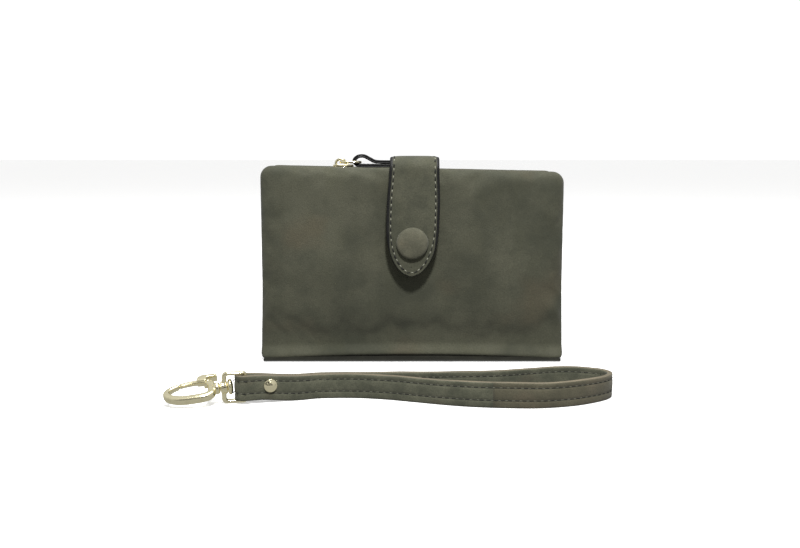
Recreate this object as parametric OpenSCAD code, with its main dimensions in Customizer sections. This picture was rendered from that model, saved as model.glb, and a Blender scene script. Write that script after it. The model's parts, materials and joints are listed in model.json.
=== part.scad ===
// Wristlet wallet: a padded leather wallet that folds along its bottom edge, with card
// pockets, a zip coin pocket leaf, a snap tab over the top, and a wrist strap with a
// swivel snap hook that lies in front of it. The wallet stands on its folded edge.
// X runs along the wallet, Y from its front to its back, Z up from the surface.

/* [Wallet] */
// Width of the wallet
wallet_w = 145; // [135:1:160]
// Height of the wallet, standing on its fold
wallet_h = 93; // [88:1:105]
// Depth of the closed wallet
wallet_d = 31; // [31:1:36]
// Radius of the upper corners of the covers
corner_r = 5; // [3:0.5:8]
// Bevel along the outer top edge of a cover
edge_bevel = 2.5; // [1:0.1:2.5]
// Thickness of the cover leather
leather_t = 1.4; // [1:0.1:1.4]
// Depth of a padded cover, without its pockets
cover_t = 4.6; // [4.4:0.1:4.8]
// Thickness of the foam in a cover
foam_t = 1.8; // [1.4:0.1:1.8]
// Thickness of the stiffening board in a cover
board_t = 0.8; // [0.6:0.1:0.8]

/* [Pockets] */
// Card pockets on each cover
card_steps = 4; // [2:1:4]
// Thickness of one pocket panel
panel_t = 0.5; // [0.4:0.05:0.5]
// Height by which each card pocket is shorter than the one behind it
card_step_h = 10; // [7:1:12]
// Width of the card pockets, for a card 85.6 wide
card_w = 94; // [90:1:96]
// Depth of the coin pocket leaf
leaf_d = 12.4; // [11:0.1:12.4]
// Thickness of the coin pocket walls
wall_t = 0.8; // [0.6:0.1:1]

/* [Zip] */
// Distance from one zip tooth to the next on the same tape
tooth_pitch = 2.4; // [2.2:0.1:3]
// Place of the slider along the zip, from the middle of the wallet
slider_x = -33.5; // [-36:0.5:-32]
// Half of the clear gap between the rows of teeth where the zip is open
open_half = 2.1; // [2.1:0.1:2.2]

/* [Tab] */
// Width of the closing tab
tab_w = 25; // [20:1:30]
// Thickness of the tab leather
tab_leather_t = 1.4; // [1:0.1:1.6]
// Thickness of the tab lining
tab_lining_t = 0.7; // [0.5:0.1:0.8]
// Gap between the front cover and the tab in front of it
tab_gap = 4.3; // [4.3:0.1:5]
// Height of the tip of the tab
tab_tip_z = 41.6; // [30:0.2:50]
// Height of the snap button's centre
button_z = 57.5; // [52:0.5:70]
// Diameter of the leather-covered snap button
button_d = 15; // [12:0.5:16]

/* [Wrist strap] */
// Width of the strap, which stands on its edge
strap_w = 10.2; // [9:0.1:10.2]
// Thickness of the outer ply of the strap
outer_ply_t = 1.2; // [1:0.1:1.2]
// Thickness of the inner ply of the strap
inner_ply_t = 1.0; // [0.8:0.1:1]
// Diameter of the domed rivet cap
rivet_d = 5.4; // [4:0.2:6]

/* [Snap hook] */
// Turn of the clasp towards the front of the wallet
clasp_turn = 10; // [0:1:20]
// Angle by which the hook slopes down from its ring to the surface
hook_slope = 6; // [0:1:11]
// Roll of the hook about its swivel
hook_roll = 20; // [0:1:22]
// Length of the oval hook
hook_l = 21.6; // [19:0.2:24]
// Width of the oval hook
hook_w = 14.4; // [13:0.2:16]
// Thickness of the hook
hook_t = 3.2; // [3:0.1:3.2]

/* [Hidden] */
$fn = 48;

olive = [0.40, 0.40, 0.33];
olive_dark = [0.29, 0.29, 0.24];
lining_tone = [0.22, 0.21, 0.18];
foam_tone = [0.85, 0.83, 0.75];
board_tone = [0.60, 0.55, 0.45];
gold = [0.85, 0.80, 0.58];
black = [0.08, 0.08, 0.08];

// Layers of the closed wallet, front to back
front_y = -wallet_d / 2;
back_y = wallet_d / 2;
lining_t = cover_t - leather_t - foam_t - board_t;
pocket_t = card_steps * panel_t;
layer_gap = 0.7;
leaf_back_y = back_y - cover_t - pocket_t - layer_gap;
leaf_front_y = leaf_back_y - leaf_d;
zip_y = (leaf_front_y + leaf_back_y) / 2;

// The folded bottom edge
base_t = 1.2;
base_lining_t = 0.5;
fold_gap = 0.3;
body_z = base_t + base_lining_t + fold_gap;

// The coin pocket and its zip
leaf_half_w = 68;
tape_z = 91.2;
tape_t = 0.6;
tape_half_l = 66;
wall_top_z = tape_z + tape_t;
gusset_top_z = 87;
tooth = [1.0, 1.8, 2.2];
tooth_z = tape_z + tape_t / 2 - tooth[2] / 2;
tooth_overlap = 0.7;
tooth_run = 62;
closed_x = slider_x + 0.5;
opened_x = slider_x - 3.5;

// The slider
slider_l = 9.8;
slider_w = 9.4;
plate_t = 1.2;
tooth_play = 0.3;
plate_top_z = tooth_z + tooth[2] + tooth_play + plate_t;
plate_low_z = tooth_z - tooth_play - plate_t;
flange_t = 0.6;
flange_h = 0.9;
post_l = 2;
post_w = 1.8;
bridge = [5.8, 2.4, 2.9];
bridge_hole = [2.5, 2.05];

// The pull
pull_wire_r = 0.6;
pull_bend_r = 3.4;
pull_straight_l = 3;
pull_pivot_x = slider_x - 1.4;
pull_z = plate_top_z + 1.1;
pull_strip_w = 4.4;
pull_strip_t = 1.5;
pull_route = [[-12.9, 95.4], [-17.5, 95.5], [-20.5, 96.8], [-23.4, 98.1], [-26.2, 98], [-28, 96.6],
              [-28, 95.1], [-26.6, 93.8], [-23.5, 93.5], [-19, 93.5], [-12.9, 93.5]];

// The tab
tab_under_z = 95.8;
tab_t = tab_leather_t + tab_lining_t;
tab_point_l = 24;
tab_point_shape = 2;
tab_point_blunt = 0.5;
flap_in_y = front_y - tab_gap;
bend_clear = 1.5;
anchor_low_z = 52;
anchor_top_z = 92.8;
stud_flange_r = 4.6;
stud_flange_t = 0.8;
stud_r = 1.9;
stud_l = 2.2;
socket_r = 5;
socket_bore_r = 3.1;
socket_t = 1.8;
core_r = 6.2;
core_t = 1.2;
button_h = 3.4;

// The strap: a closed route along the joint between its two plies, seen from above.
// It runs from the fold round the ring, along the near side, round the wrist end and
// back along the far side.
ring_bar = [-68.5, -93.4];
strap_route = [[-71, -92.9], [-70.7, -94.9], [-68.6, -95.9], [-64, -94.7], [-58, -92.8],
               [-46, -89.4], [-38, -86.6], [-24, -86.2], [-12, -88.4], [0, -92.6], [12, -97],
               [24, -100.2], [38, -101.9], [50, -101.9], [62, -99], [71, -94.4], [77, -88.6],
               [79.6, -83], [77.6, -78], [72.5, -74.9], [66, -73.6], [58, -74], [49, -77],
               [39, -80.6], [28, -82.3], [14, -82.8], [0, -83], [-12, -83.2], [-24, -83.8],
               [-38, -84.2], [-46, -87], [-58, -90.5], [-64, -91.1], [-68.6, -90.9]];
route_steps = 5;
rivet_at = [-58.5, -91.75];
rivet_z = 7;
rivet_turn = 16;
rivet_post_r = 1.2;
rivet_reach = 2.5;
rivet_back = 2.85;
strap_end_x = -62;
strap_end_low = 1.6;
strap_end_top = 11.2;
inner_ply_low = 0.2;

// The clasp ring, which stands on the surface
ring_bar_r = 0.9;
ring_side_t = 1.3;
ring_side_w = 2.4;
ring_inner_h = 10;
ring_l = 8;
ring_z = ring_inner_h / 2 + ring_side_t + 0.1;
boss_r = 2.6;
boss_t = 2.4;
swivel_r = 1.1;
swivel_play = 0.05;
swivel_head_r = 2.1;
swivel_head_t = 2;
collar_gap = 0.35;
collar_r = 2.2;
collar_l = 2.2;

// The hook, drawn with its swivel along -X from the middle of the ring's boss
hook_near = 2.9;
hook_mid = hook_near + hook_l / 2;
eye_l = 13.2;
eye_w = 8.2;
eye_shift = 0.3;
mouth_from = 4.2;
mouth_to = 14.6;
gate_pivot = [-6.2, 4.9];
gate_pin_r = 0.6;
gate_play = 0.06;
gate_t = 1.6;
gate_slot_t = 2;
gate_reach = 10.6;

// Points of a smooth closed or open curve through the points of a list
function mix(a, b, c, d, t) = 0.5 * (2 * b + (c - a) * t
  + (2 * a - 5 * b + 4 * c - d) * t * t + (3 * b - a - 3 * c + d) * t * t * t);
function closed_curve(p) = [for (i = [0:len(p) - 1], s = [0:route_steps - 1])
  mix(p[(i + len(p) - 1) % len(p)], p[i], p[(i + 1) % len(p)], p[(i + 2) % len(p)],
      s / route_steps)];
function open_curve(p) = [for (i = [0:len(p) - 2], s = [0:route_steps - 1])
  mix(p[max(i - 1, 0)], p[i], p[i + 1], p[min(i + 2, len(p) - 1)], s / route_steps),
  p[len(p) - 1]];
function left_of(v) = [-v[1], v[0]] / norm(v);
// A curve moved sideways by d, to the left of its direction
function closed_offset(c, d) = [for (i = [0:len(c) - 1])
  c[i] + d * left_of(c[(i + 1) % len(c)] - c[(i + len(c) - 1) % len(c)])];
function open_offset(c, d) = [for (i = [0:len(c) - 1])
  c[i] + d * left_of(c[min(i + 1, len(c) - 1)] - c[max(i - 1, 0)])];
function reversed(p) = [for (i = [len(p) - 1:-1:0]) p[i]];
// The sideways place of the teeth: none where the zip is closed, apart where it is open
function tooth_shift(x) = (open_half + tooth_overlap)
  * min(max((closed_x - x) / (closed_x - opened_x), 0), 1);

// A plate from one depth to another, drawn as seen from the front
module slab(y0, y1) {
  translate([0, y1, 0]) rotate([90, 0, 0]) linear_extrude(height = y1 - y0) children();
}

module block(low, high) {
  translate(low) cube(high - low);
}

// A cover's outline, inset on its sides and top, with round upper corners
module cover_outline(inset, low_z) {
  half = wallet_w / 2 - inset;
  top = wallet_h - inset;
  r = corner_r - inset;
  translate([-half, low_z]) square([2 * half, top - r - low_z]);
  translate([-half + r, low_z]) square([2 * (half - r), top - low_z]);
  for (s = [-1, 1]) translate([s * (half - r), top - r]) circle(r);
}

// Leather turned over the edges of a cover, open on its inner side
module cover_leather(outer_y, inner_y, low_z) {
  y0 = min(outer_y, inner_y);
  y1 = max(outer_y, inner_y);
  cut0 = outer_y < inner_y ? y0 + leather_t : y0 - 1;
  cut1 = outer_y < inner_y ? y1 + 1 : y1 - leather_t;
  bevel_side = edge_bevel * sqrt(2);
  difference() {
    slab(y0, y1) cover_outline(0, low_z);
    slab(cut0, cut1) cover_outline(leather_t, low_z + leather_t);
    translate([0, outer_y, wallet_h]) rotate([45, 0, 0])
      cube([wallet_w + 2, bevel_side, bevel_side], center = true);
  }
}

// A layer that fills a cover inside its turned edge
module cover_layer(y0, y1, low_z) {
  slab(y0, y1) cover_outline(leather_t, low_z + leather_t);
}

// Stepped card pockets, each shorter than the one behind it
module card_pockets(base_y, towards, low_z) {
  first_top = wallet_h - 12;
  for (i = [0:card_steps - 1]) {
    y0 = base_y + towards * i * panel_t;
    y1 = y0 + towards * panel_t;
    block([-66, min(y0, y1), low_z], [-66 + card_w, max(y0, y1), first_top - i * card_step_h]);
  }
}

module front_cover_leather() {
  color(olive) difference() {
    cover_leather(front_y, front_y + cover_t, base_t);
    stud_hole();
  }
}

module front_cover_foam() {
  y = front_y + leather_t;
  color(foam_tone) difference() {
    cover_layer(y, y + foam_t, base_t);
    stud_hole();
  }
}

module front_cover_board() {
  y = front_y + leather_t + foam_t;
  color(board_tone) cover_layer(y, y + board_t, base_t);
}

module front_cover_lining() {
  y = front_y + cover_t;
  color(lining_tone) cover_layer(y - lining_t, y, base_t);
}

module front_card_pockets() {
  color(olive_dark) card_pockets(front_y + cover_t, 1, body_z + 2);
}

module front_slip_pocket() {
  y = front_y + cover_t;
  color(olive_dark) block([-64 + card_w, y, body_z + 2], [66, y + panel_t, 76]);
}

// The leather round the bottom of the wallet, which it stands on
module base_leather() {
  color(olive) block([-wallet_w / 2, front_y, 0], [wallet_w / 2, back_y, base_t]);
}

module base_lining() {
  color(lining_tone) block([-leaf_half_w, front_y + cover_t + pocket_t, base_t],
                           [leaf_half_w, leaf_back_y, base_t + base_lining_t]);
}

module across(y0, y1, r) {
  translate([0, y1, button_z]) rotate([90, 0, 0]) cylinder(r = r, h = y1 - y0);
}

module stud_hole() {
  across(front_y - 1, front_y + leather_t + foam_t, stud_r - 0.4);
}

// The lower half of the snap, riveted through the front cover
module snap_stud() {
  color(gold) {
    across(front_y - stud_flange_t, front_y, stud_flange_r);
    across(front_y - stud_flange_t - stud_l, front_y - stud_flange_t, stud_r);
    across(front_y, front_y + leather_t + foam_t - 0.4, stud_r - 0.4);
  }
}

module snap_stud_washer() {
  y = front_y + leather_t + foam_t;
  color(gold) across(y - 0.4, y, stud_r - 0.4);
}

module back_cover_leather() {
  color(olive) cover_leather(back_y, back_y - cover_t, body_z);
}

module back_cover_foam() {
  y = back_y - leather_t;
  color(foam_tone) cover_layer(y - foam_t, y, body_z);
}

module back_cover_board() {
  y = back_y - leather_t - foam_t;
  color(board_tone) cover_layer(y - board_t, y, body_z);
}

module back_cover_lining() {
  y = back_y - cover_t;
  color(lining_tone) cover_layer(y, y + lining_t, body_z);
}

module back_card_pockets() {
  color(olive_dark) card_pockets(back_y - cover_t, -1, body_z + 2);
}

id_low = [-64 + card_w, body_z + 4];
id_high = [66, 84];
id_border = 4;

module id_window_frame() {
  y = back_y - cover_t;
  color(olive_dark) difference() {
    block([id_low[0], y - panel_t, id_low[1]], [id_high[0], y, id_high[1]]);
    block([id_low[0] + id_border, y - 1, id_low[1] + id_border],
          [id_high[0] - id_border, y + 1, id_high[1] - id_border]);
  }
}

module id_window_film() {
  y = back_y - cover_t;
  color([0.8, 0.9, 0.95, 0.4]) block(
    [id_low[0] + id_border, y - 0.3, id_low[1] + id_border],
    [id_high[0] - id_border, y, id_high[1] - id_border]);
}

// The end of the tab that is sewn to the back cover
module tab_anchor() {
  color(olive) block([-tab_w / 2, back_y, anchor_low_z], [tab_w / 2, back_y + tab_t, anchor_top_z]);
}

module coin_pocket_front_wall() {
  color(lining_tone) block([-leaf_half_w, leaf_front_y, body_z],
                           [leaf_half_w, leaf_front_y + wall_t, wall_top_z]);
}

module coin_pocket_back_wall() {
  color(lining_tone) block([-leaf_half_w, leaf_back_y - wall_t, body_z],
                           [leaf_half_w, leaf_back_y, wall_top_z]);
}

module coin_pocket_floor() {
  color(lining_tone) block([-leaf_half_w, leaf_front_y + wall_t, body_z],
                           [leaf_half_w, leaf_back_y - wall_t, body_z + wall_t]);
}

module side_gusset(x) {
  color(lining_tone) block([x, leaf_front_y + wall_t, body_z + wall_t],
                           [x + wall_t, leaf_back_y - wall_t, gusset_top_z]);
}

module coin_pocket_left_gusset() {
  side_gusset(-leaf_half_w);
}

module coin_pocket_right_gusset() {
  side_gusset(leaf_half_w - wall_t);
}

// A zip tape from its pocket wall to the row of teeth; side is -1 at the front
module zip_tape(side) {
  wall_y = side * (leaf_d / 2 - wall_t);
  edge = side * 0.8;
  full = open_half + tooth_overlap;
  color(black) translate([0, zip_y, tape_z]) linear_extrude(height = tape_t)
    polygon([[tape_half_l, wall_y], [tape_half_l, edge], [closed_x, edge],
             [opened_x, edge + side * full], [-tape_half_l, edge + side * full],
             [-tape_half_l, wall_y]]);
}

module zip_teeth(side) {
  offset_x = side < 0 ? 0 : tooth_pitch / 2;
  color(gold) for (i = [0:floor(2 * tooth_run / tooth_pitch) - 1]) {
    x = -tooth_run + offset_x + i * tooth_pitch;
    y = side < 0 ? tooth_overlap - tooth[1] - tooth_shift(x) : tooth_shift(x) - tooth_overlap;
    translate([x, zip_y + y, tooth_z]) cube(tooth);
  }
}

module zip_tape_front() {
  zip_tape(-1);
}

module zip_tape_back() {
  zip_tape(1);
}

module zip_teeth_front() {
  zip_teeth(-1);
}

module zip_teeth_back() {
  zip_teeth(1);
}

// Stops crimped on the tapes beyond both ends of the teeth
module zip_end_stops() {
  stop_y = open_half + 0.2;
  color(gold) {
    block([tooth_run + 0.9, zip_y - 1.6, tooth_z], [tooth_run + 2.6, zip_y + 1.6, tooth_z + tooth[2]]);
    for (s = [-1, 1]) translate([-tooth_run - 2.2, zip_y + s * (stop_y + 0.9) - 0.9, tooth_z])
      cube([1.6, 1.8, tooth[2]]);
  }
}

// Two plates with turned edges, the wedge between them and the bridge for the pull
module zip_slider() {
  x0 = slider_x - slider_l / 2;
  x1 = slider_x + slider_l / 2;
  bridge_x = pull_pivot_x - bridge[0] / 2;
  color(gold) {
    for (z = [plate_low_z, plate_top_z - plate_t])
      block([x0, zip_y - slider_w / 2, z], [x1, zip_y + slider_w / 2, z + plate_t]);
    for (s = [-1, 1], z = [plate_low_z + plate_t, plate_top_z - plate_t - flange_h])
      translate([x0, zip_y + s * (slider_w - flange_t) / 2 - flange_t / 2, z])
        cube([slider_l, flange_t, flange_h]);
    block([x0 + 0.2, zip_y - post_w / 2, plate_low_z + plate_t],
          [x0 + 0.2 + post_l, zip_y + post_w / 2, plate_top_z - plate_t]);
    difference() {
      translate([bridge_x, zip_y - bridge[1] / 2, plate_top_z]) cube(bridge);
      translate([pull_pivot_x - bridge_hole[0] / 2, zip_y - bridge[1], plate_top_z - 0.01])
        cube([bridge_hole[0], 2 * bridge[1], bridge_hole[1]]);
    }
  }
}

module half_ring(turn) {
  rotate([0, 0, turn]) rotate_extrude(angle = 180) translate([pull_bend_r, 0]) circle(pull_wire_r);
}

// The wire ring that hangs on the slider's bridge
module zip_pull_ring() {
  left = pull_pivot_x + pull_bend_r;
  color(gold) translate([left, zip_y, pull_z]) {
    half_ring(90);
    translate([pull_straight_l, 0, 0]) half_ring(-90);
    for (s = [-1, 1]) translate([0, s * pull_bend_r, 0]) rotate([0, 90, 0])
      cylinder(r = pull_wire_r, h = pull_straight_l);
  }
}

// A leather strip folded through the ring, its two ends lying under the tab's edge
module zip_pull_strip() {
  c = open_curve(pull_route);
  color(black) translate([0, zip_y + pull_strip_w / 2, 0]) rotate([90, 0, 0])
    linear_extrude(height = pull_strip_w)
      polygon(concat(open_offset(c, pull_strip_t / 2), reversed(open_offset(c, -pull_strip_t / 2))));
}

// The part of the tab that crosses the top of the wallet
module tab_bridge_leather() {
  color(olive) block([-tab_w / 2, flap_in_y + bend_clear, tab_under_z + tab_lining_t],
                     [tab_w / 2, back_y - bend_clear, tab_under_z + tab_t]);
}

module tab_bridge_lining() {
  color(black) block([-tab_w / 2, flap_in_y + bend_clear, tab_under_z],
                     [tab_w / 2, back_y - bend_clear, tab_under_z + tab_lining_t]);
}

// The hanging part of the tab, whose sides curve in to a point
module flap_outline() {
  top = tab_under_z - 0.6;
  side = [for (u = [0.05:0.05:1.01])
    [tab_w / 2 * pow(1 - pow(1 - min(u, 1), tab_point_shape), tab_point_blunt),
     tab_tip_z + tab_point_l * min(u, 1)]];
  polygon(concat([[0, tab_tip_z]], side, [[tab_w / 2, top], [-tab_w / 2, top]],
                 [for (p = reversed(side)) [-p[0], p[1]]]));
}

module tab_flap_leather() {
  y = flap_in_y - tab_lining_t;
  color(olive) slab(y - tab_leather_t, y) flap_outline();
}

module tab_flap_lining() {
  color(black) slab(flap_in_y - tab_lining_t, flap_in_y) flap_outline();
}

// A shallow dome of leather stretched over the button's metal core
module button_dome(r, h) {
  ball_r = (r * r + h * h) / (2 * h);
  intersection() {
    translate([0, 0, h - ball_r]) sphere(ball_r);
    cylinder(r = r, h = h);
  }
}

module snap_button_cover() {
  color(olive) translate([0, flap_in_y - tab_t, button_z]) rotate([90, 0, 0]) difference() {
    union() {
      cylinder(r = button_d / 2, h = 1);
      translate([0, 0, 1]) button_dome(button_d / 2, button_h - 1);
    }
    translate([0, 0, -1]) cylinder(r = core_r, h = core_t + 1);
  }
}

module snap_button_core() {
  color(gold) across(flap_in_y - tab_t - core_t, flap_in_y - tab_t, core_r);
}

// The upper half of the snap, a cup on the inner side of the flap
module snap_socket() {
  color(gold) difference() {
    across(flap_in_y, flap_in_y + socket_t, socket_r);
    across(flap_in_y + 0.3, flap_in_y + socket_t + 1, socket_bore_r);
  }
}

// The rivet's axis, pointing out of the near side, from a distance d along it
module at_rivet(d) {
  translate([rivet_at[0], rivet_at[1], rivet_z]) rotate([0, 0, rivet_turn]) rotate([90, 0, 0])
    translate([0, 0, d]) children();
}

// The strap's plan between two offsets of its route, raised over its width
module strap_ply(inside, outside, low_z) {
  c = closed_curve(strap_route);
  difference() {
    linear_extrude(height = strap_end_top) difference() {
      polygon(closed_offset(c, -outside));
      polygon(closed_offset(c, -inside));
    }
    block([-80, -120, -1], [strap_end_x, -60, strap_end_low]);
    block([strap_end_x, -120, -1], [100, -60, low_z]);
    block([strap_end_x, -120, strap_w], [100, -60, 20]);
    at_rivet(-6) cylinder(r = rivet_post_r, h = 12);
  }
}

module strap_outer_ply() {
  color(olive) strap_ply(0, outer_ply_t, 0);
}

module strap_inner_ply() {
  color(olive_dark) strap_ply(-inner_ply_t, 0, inner_ply_low);
}

module rivet_cap() {
  color(gold) at_rivet(rivet_reach) {
    cylinder(r = rivet_d / 2, h = 0.5);
    translate([0, 0, 0.5]) button_dome(rivet_d / 2, 1);
  }
}

module rivet_post() {
  color(gold) at_rivet(-rivet_back) {
    cylinder(r = rivet_post_r, h = rivet_back + rivet_reach);
    translate([0, 0, -0.6]) cylinder(r = rivet_d / 2, h = 0.6);
  }
}

// The middle of the ring's bar in the strap's fold, turned with the clasp
module at_ring() {
  translate([ring_bar[0], ring_bar[1], ring_z]) rotate([0, 0, clasp_turn]) children();
}

module at_boss() {
  at_ring() translate([-ring_l, 0, 0]) rotate([0, -hook_slope, 0]) children();
}

// A cylinder along X, from x0 to x1
module rod(x0, x1, r) {
  translate([x0, 0, 0]) rotate([0, 90, 0]) cylinder(r = r, h = x1 - x0);
}

// The rectangular ring in the strap's fold, with the boss that holds the swivel
module clasp_ring() {
  half_h = ring_inner_h / 2 + ring_side_t / 2;
  side_l = ring_l + 2;
  color(gold) difference() {
    union() {
      at_ring() {
        translate([0, 0, -half_h]) cylinder(r = ring_bar_r, h = 2 * half_h);
        for (s = [-1, 1]) translate([-ring_l - 1, -ring_side_w / 2, s * half_h - ring_side_t / 2])
          cube([side_l, ring_side_w, ring_side_t]);
        translate([-ring_l - 1, -ring_side_w / 2, -half_h]) cube([2, ring_side_w, 2 * half_h]);
      }
      at_boss() rod(-boss_t / 2, boss_t / 2, boss_r);
    }
    at_boss() rod(-boss_t, boss_t, swivel_r + swivel_play);
  }
}

module at_hook() {
  at_boss() rotate([hook_roll, 0, 0]) children();
}

// The swivel's pin and round head, which turn in the ring's boss
module swivel_post() {
  color(gold) at_hook() {
    rod(-boss_t / 2 - collar_gap, boss_t / 2 + collar_gap, swivel_r);
    rod(boss_t / 2 + collar_gap, boss_t / 2 + collar_gap + swivel_head_t, swivel_head_r);
  }
}

function oval(l, w) = [for (a = [0:6:354]) [l / 2 * cos(a), w / 2 * sin(a)]];

// The oval hook with its eye, open along the far side where the gate closes it
module hook_body() {
  collar_x = -boss_t / 2 - collar_gap;
  color(gold) at_hook() difference() {
    union() {
      rod(collar_x - collar_l, collar_x, collar_r);
      translate([-hook_mid, 0, -hook_t / 2]) linear_extrude(height = hook_t) polygon(oval(hook_l, hook_w));
    }
    translate([-hook_mid - eye_shift, 0, -hook_t]) linear_extrude(height = 2 * hook_t)
      polygon(oval(eye_l, eye_w));
    block([-mouth_to, 1.6, -hook_t], [-mouth_from - 4.4, hook_w, hook_t]);
    block([-mouth_to, 1.6, -gate_slot_t / 2], [-mouth_from, hook_w, gate_slot_t / 2]);
    translate([gate_pivot[0], gate_pivot[1], -hook_t]) cylinder(r = gate_pin_r, h = 2 * hook_t);
  }
}

module gate_pin() {
  color(gold) at_hook() translate([gate_pivot[0], gate_pivot[1], -hook_t / 2])
    cylinder(r = gate_pin_r, h = hook_t);
}

// A flat spring that lies in the slot below the gate's pivot
module gate_spring() {
  color(gold) at_hook() block([-mouth_from - 3.6, 1.9, -0.6], [-mouth_from - 0.4, 2.2, 0.6]);
}

// The sprung gate with its thumb lever
module hook_gate() {
  color(gold) at_hook() difference() {
    union() {
      block([gate_pivot[0] - gate_reach + 2.4, gate_pivot[1] - 0.9, -gate_t / 2],
            [gate_pivot[0], gate_pivot[1] + 0.9, gate_t / 2]);
      translate([gate_pivot[0], gate_pivot[1], -gate_t / 2]) cylinder(r = 1.5, h = gate_t);
      block([gate_pivot[0] - 4.2, gate_pivot[1], -gate_t / 2],
            [gate_pivot[0], gate_pivot[1] + 4, gate_t / 2]);
    }
    translate([gate_pivot[0], gate_pivot[1], -hook_t]) cylinder(r = gate_pin_r + gate_play, h = 2 * hook_t);
  }
}

front_cover_leather();
front_cover_foam();
front_cover_board();
front_cover_lining();
front_card_pockets();
front_slip_pocket();
base_leather();
base_lining();
snap_stud();
snap_stud_washer();
back_cover_leather();
back_cover_foam();
back_cover_board();
back_cover_lining();
back_card_pockets();
id_window_frame();
id_window_film();
tab_anchor();
coin_pocket_front_wall();
coin_pocket_back_wall();
coin_pocket_floor();
coin_pocket_left_gusset();
coin_pocket_right_gusset();
zip_tape_front();
zip_tape_back();
zip_teeth_front();
zip_teeth_back();
zip_end_stops();
zip_slider();
zip_pull_ring();
zip_pull_strip();
tab_bridge_leather();
tab_bridge_lining();
tab_flap_leather();
tab_flap_lining();
snap_button_cover();
snap_button_core();
snap_socket();
strap_outer_ply();
strap_inner_ply();
rivet_cap();
rivet_post();
clasp_ring();
swivel_post();
hook_body();
gate_pin();
gate_spring();
hook_gate();
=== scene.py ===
"""Looks of the wristlet wallet: padded leather covers, snap tab, zip, wrist strap and clasp.

Shapes are written in millimetres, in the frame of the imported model, and scaled on their
way into a mesh. Each function builds one kind of piece. The sections below them place the pieces.
"""

import json
import math

import bmesh
import bpy
import numpy as np
from mathutils import Matrix, Vector, noise

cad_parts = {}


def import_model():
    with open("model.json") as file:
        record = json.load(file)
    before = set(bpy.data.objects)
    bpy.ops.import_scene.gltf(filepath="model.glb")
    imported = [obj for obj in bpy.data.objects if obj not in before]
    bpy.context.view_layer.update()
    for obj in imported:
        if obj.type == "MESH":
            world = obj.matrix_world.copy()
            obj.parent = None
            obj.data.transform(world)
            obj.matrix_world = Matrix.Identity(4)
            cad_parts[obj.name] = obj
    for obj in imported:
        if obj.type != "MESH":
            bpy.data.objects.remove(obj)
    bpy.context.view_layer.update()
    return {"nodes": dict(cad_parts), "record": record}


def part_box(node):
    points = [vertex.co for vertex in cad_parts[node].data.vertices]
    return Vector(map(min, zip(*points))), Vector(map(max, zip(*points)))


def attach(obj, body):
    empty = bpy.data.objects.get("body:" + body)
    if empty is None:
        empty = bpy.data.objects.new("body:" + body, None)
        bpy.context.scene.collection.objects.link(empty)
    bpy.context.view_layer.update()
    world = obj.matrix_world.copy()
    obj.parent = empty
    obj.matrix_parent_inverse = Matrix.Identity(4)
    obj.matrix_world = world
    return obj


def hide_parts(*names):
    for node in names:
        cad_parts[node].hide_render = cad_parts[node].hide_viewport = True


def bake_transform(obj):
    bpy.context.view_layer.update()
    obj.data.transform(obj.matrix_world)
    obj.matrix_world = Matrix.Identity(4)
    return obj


MM = 0.001
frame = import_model()


def span(node):
    """The lowest and highest corner of a CAD node, in millimetres."""
    low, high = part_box(node)
    return low / MM, high / MM


# ---------------------------------------------------------------- materials


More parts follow.
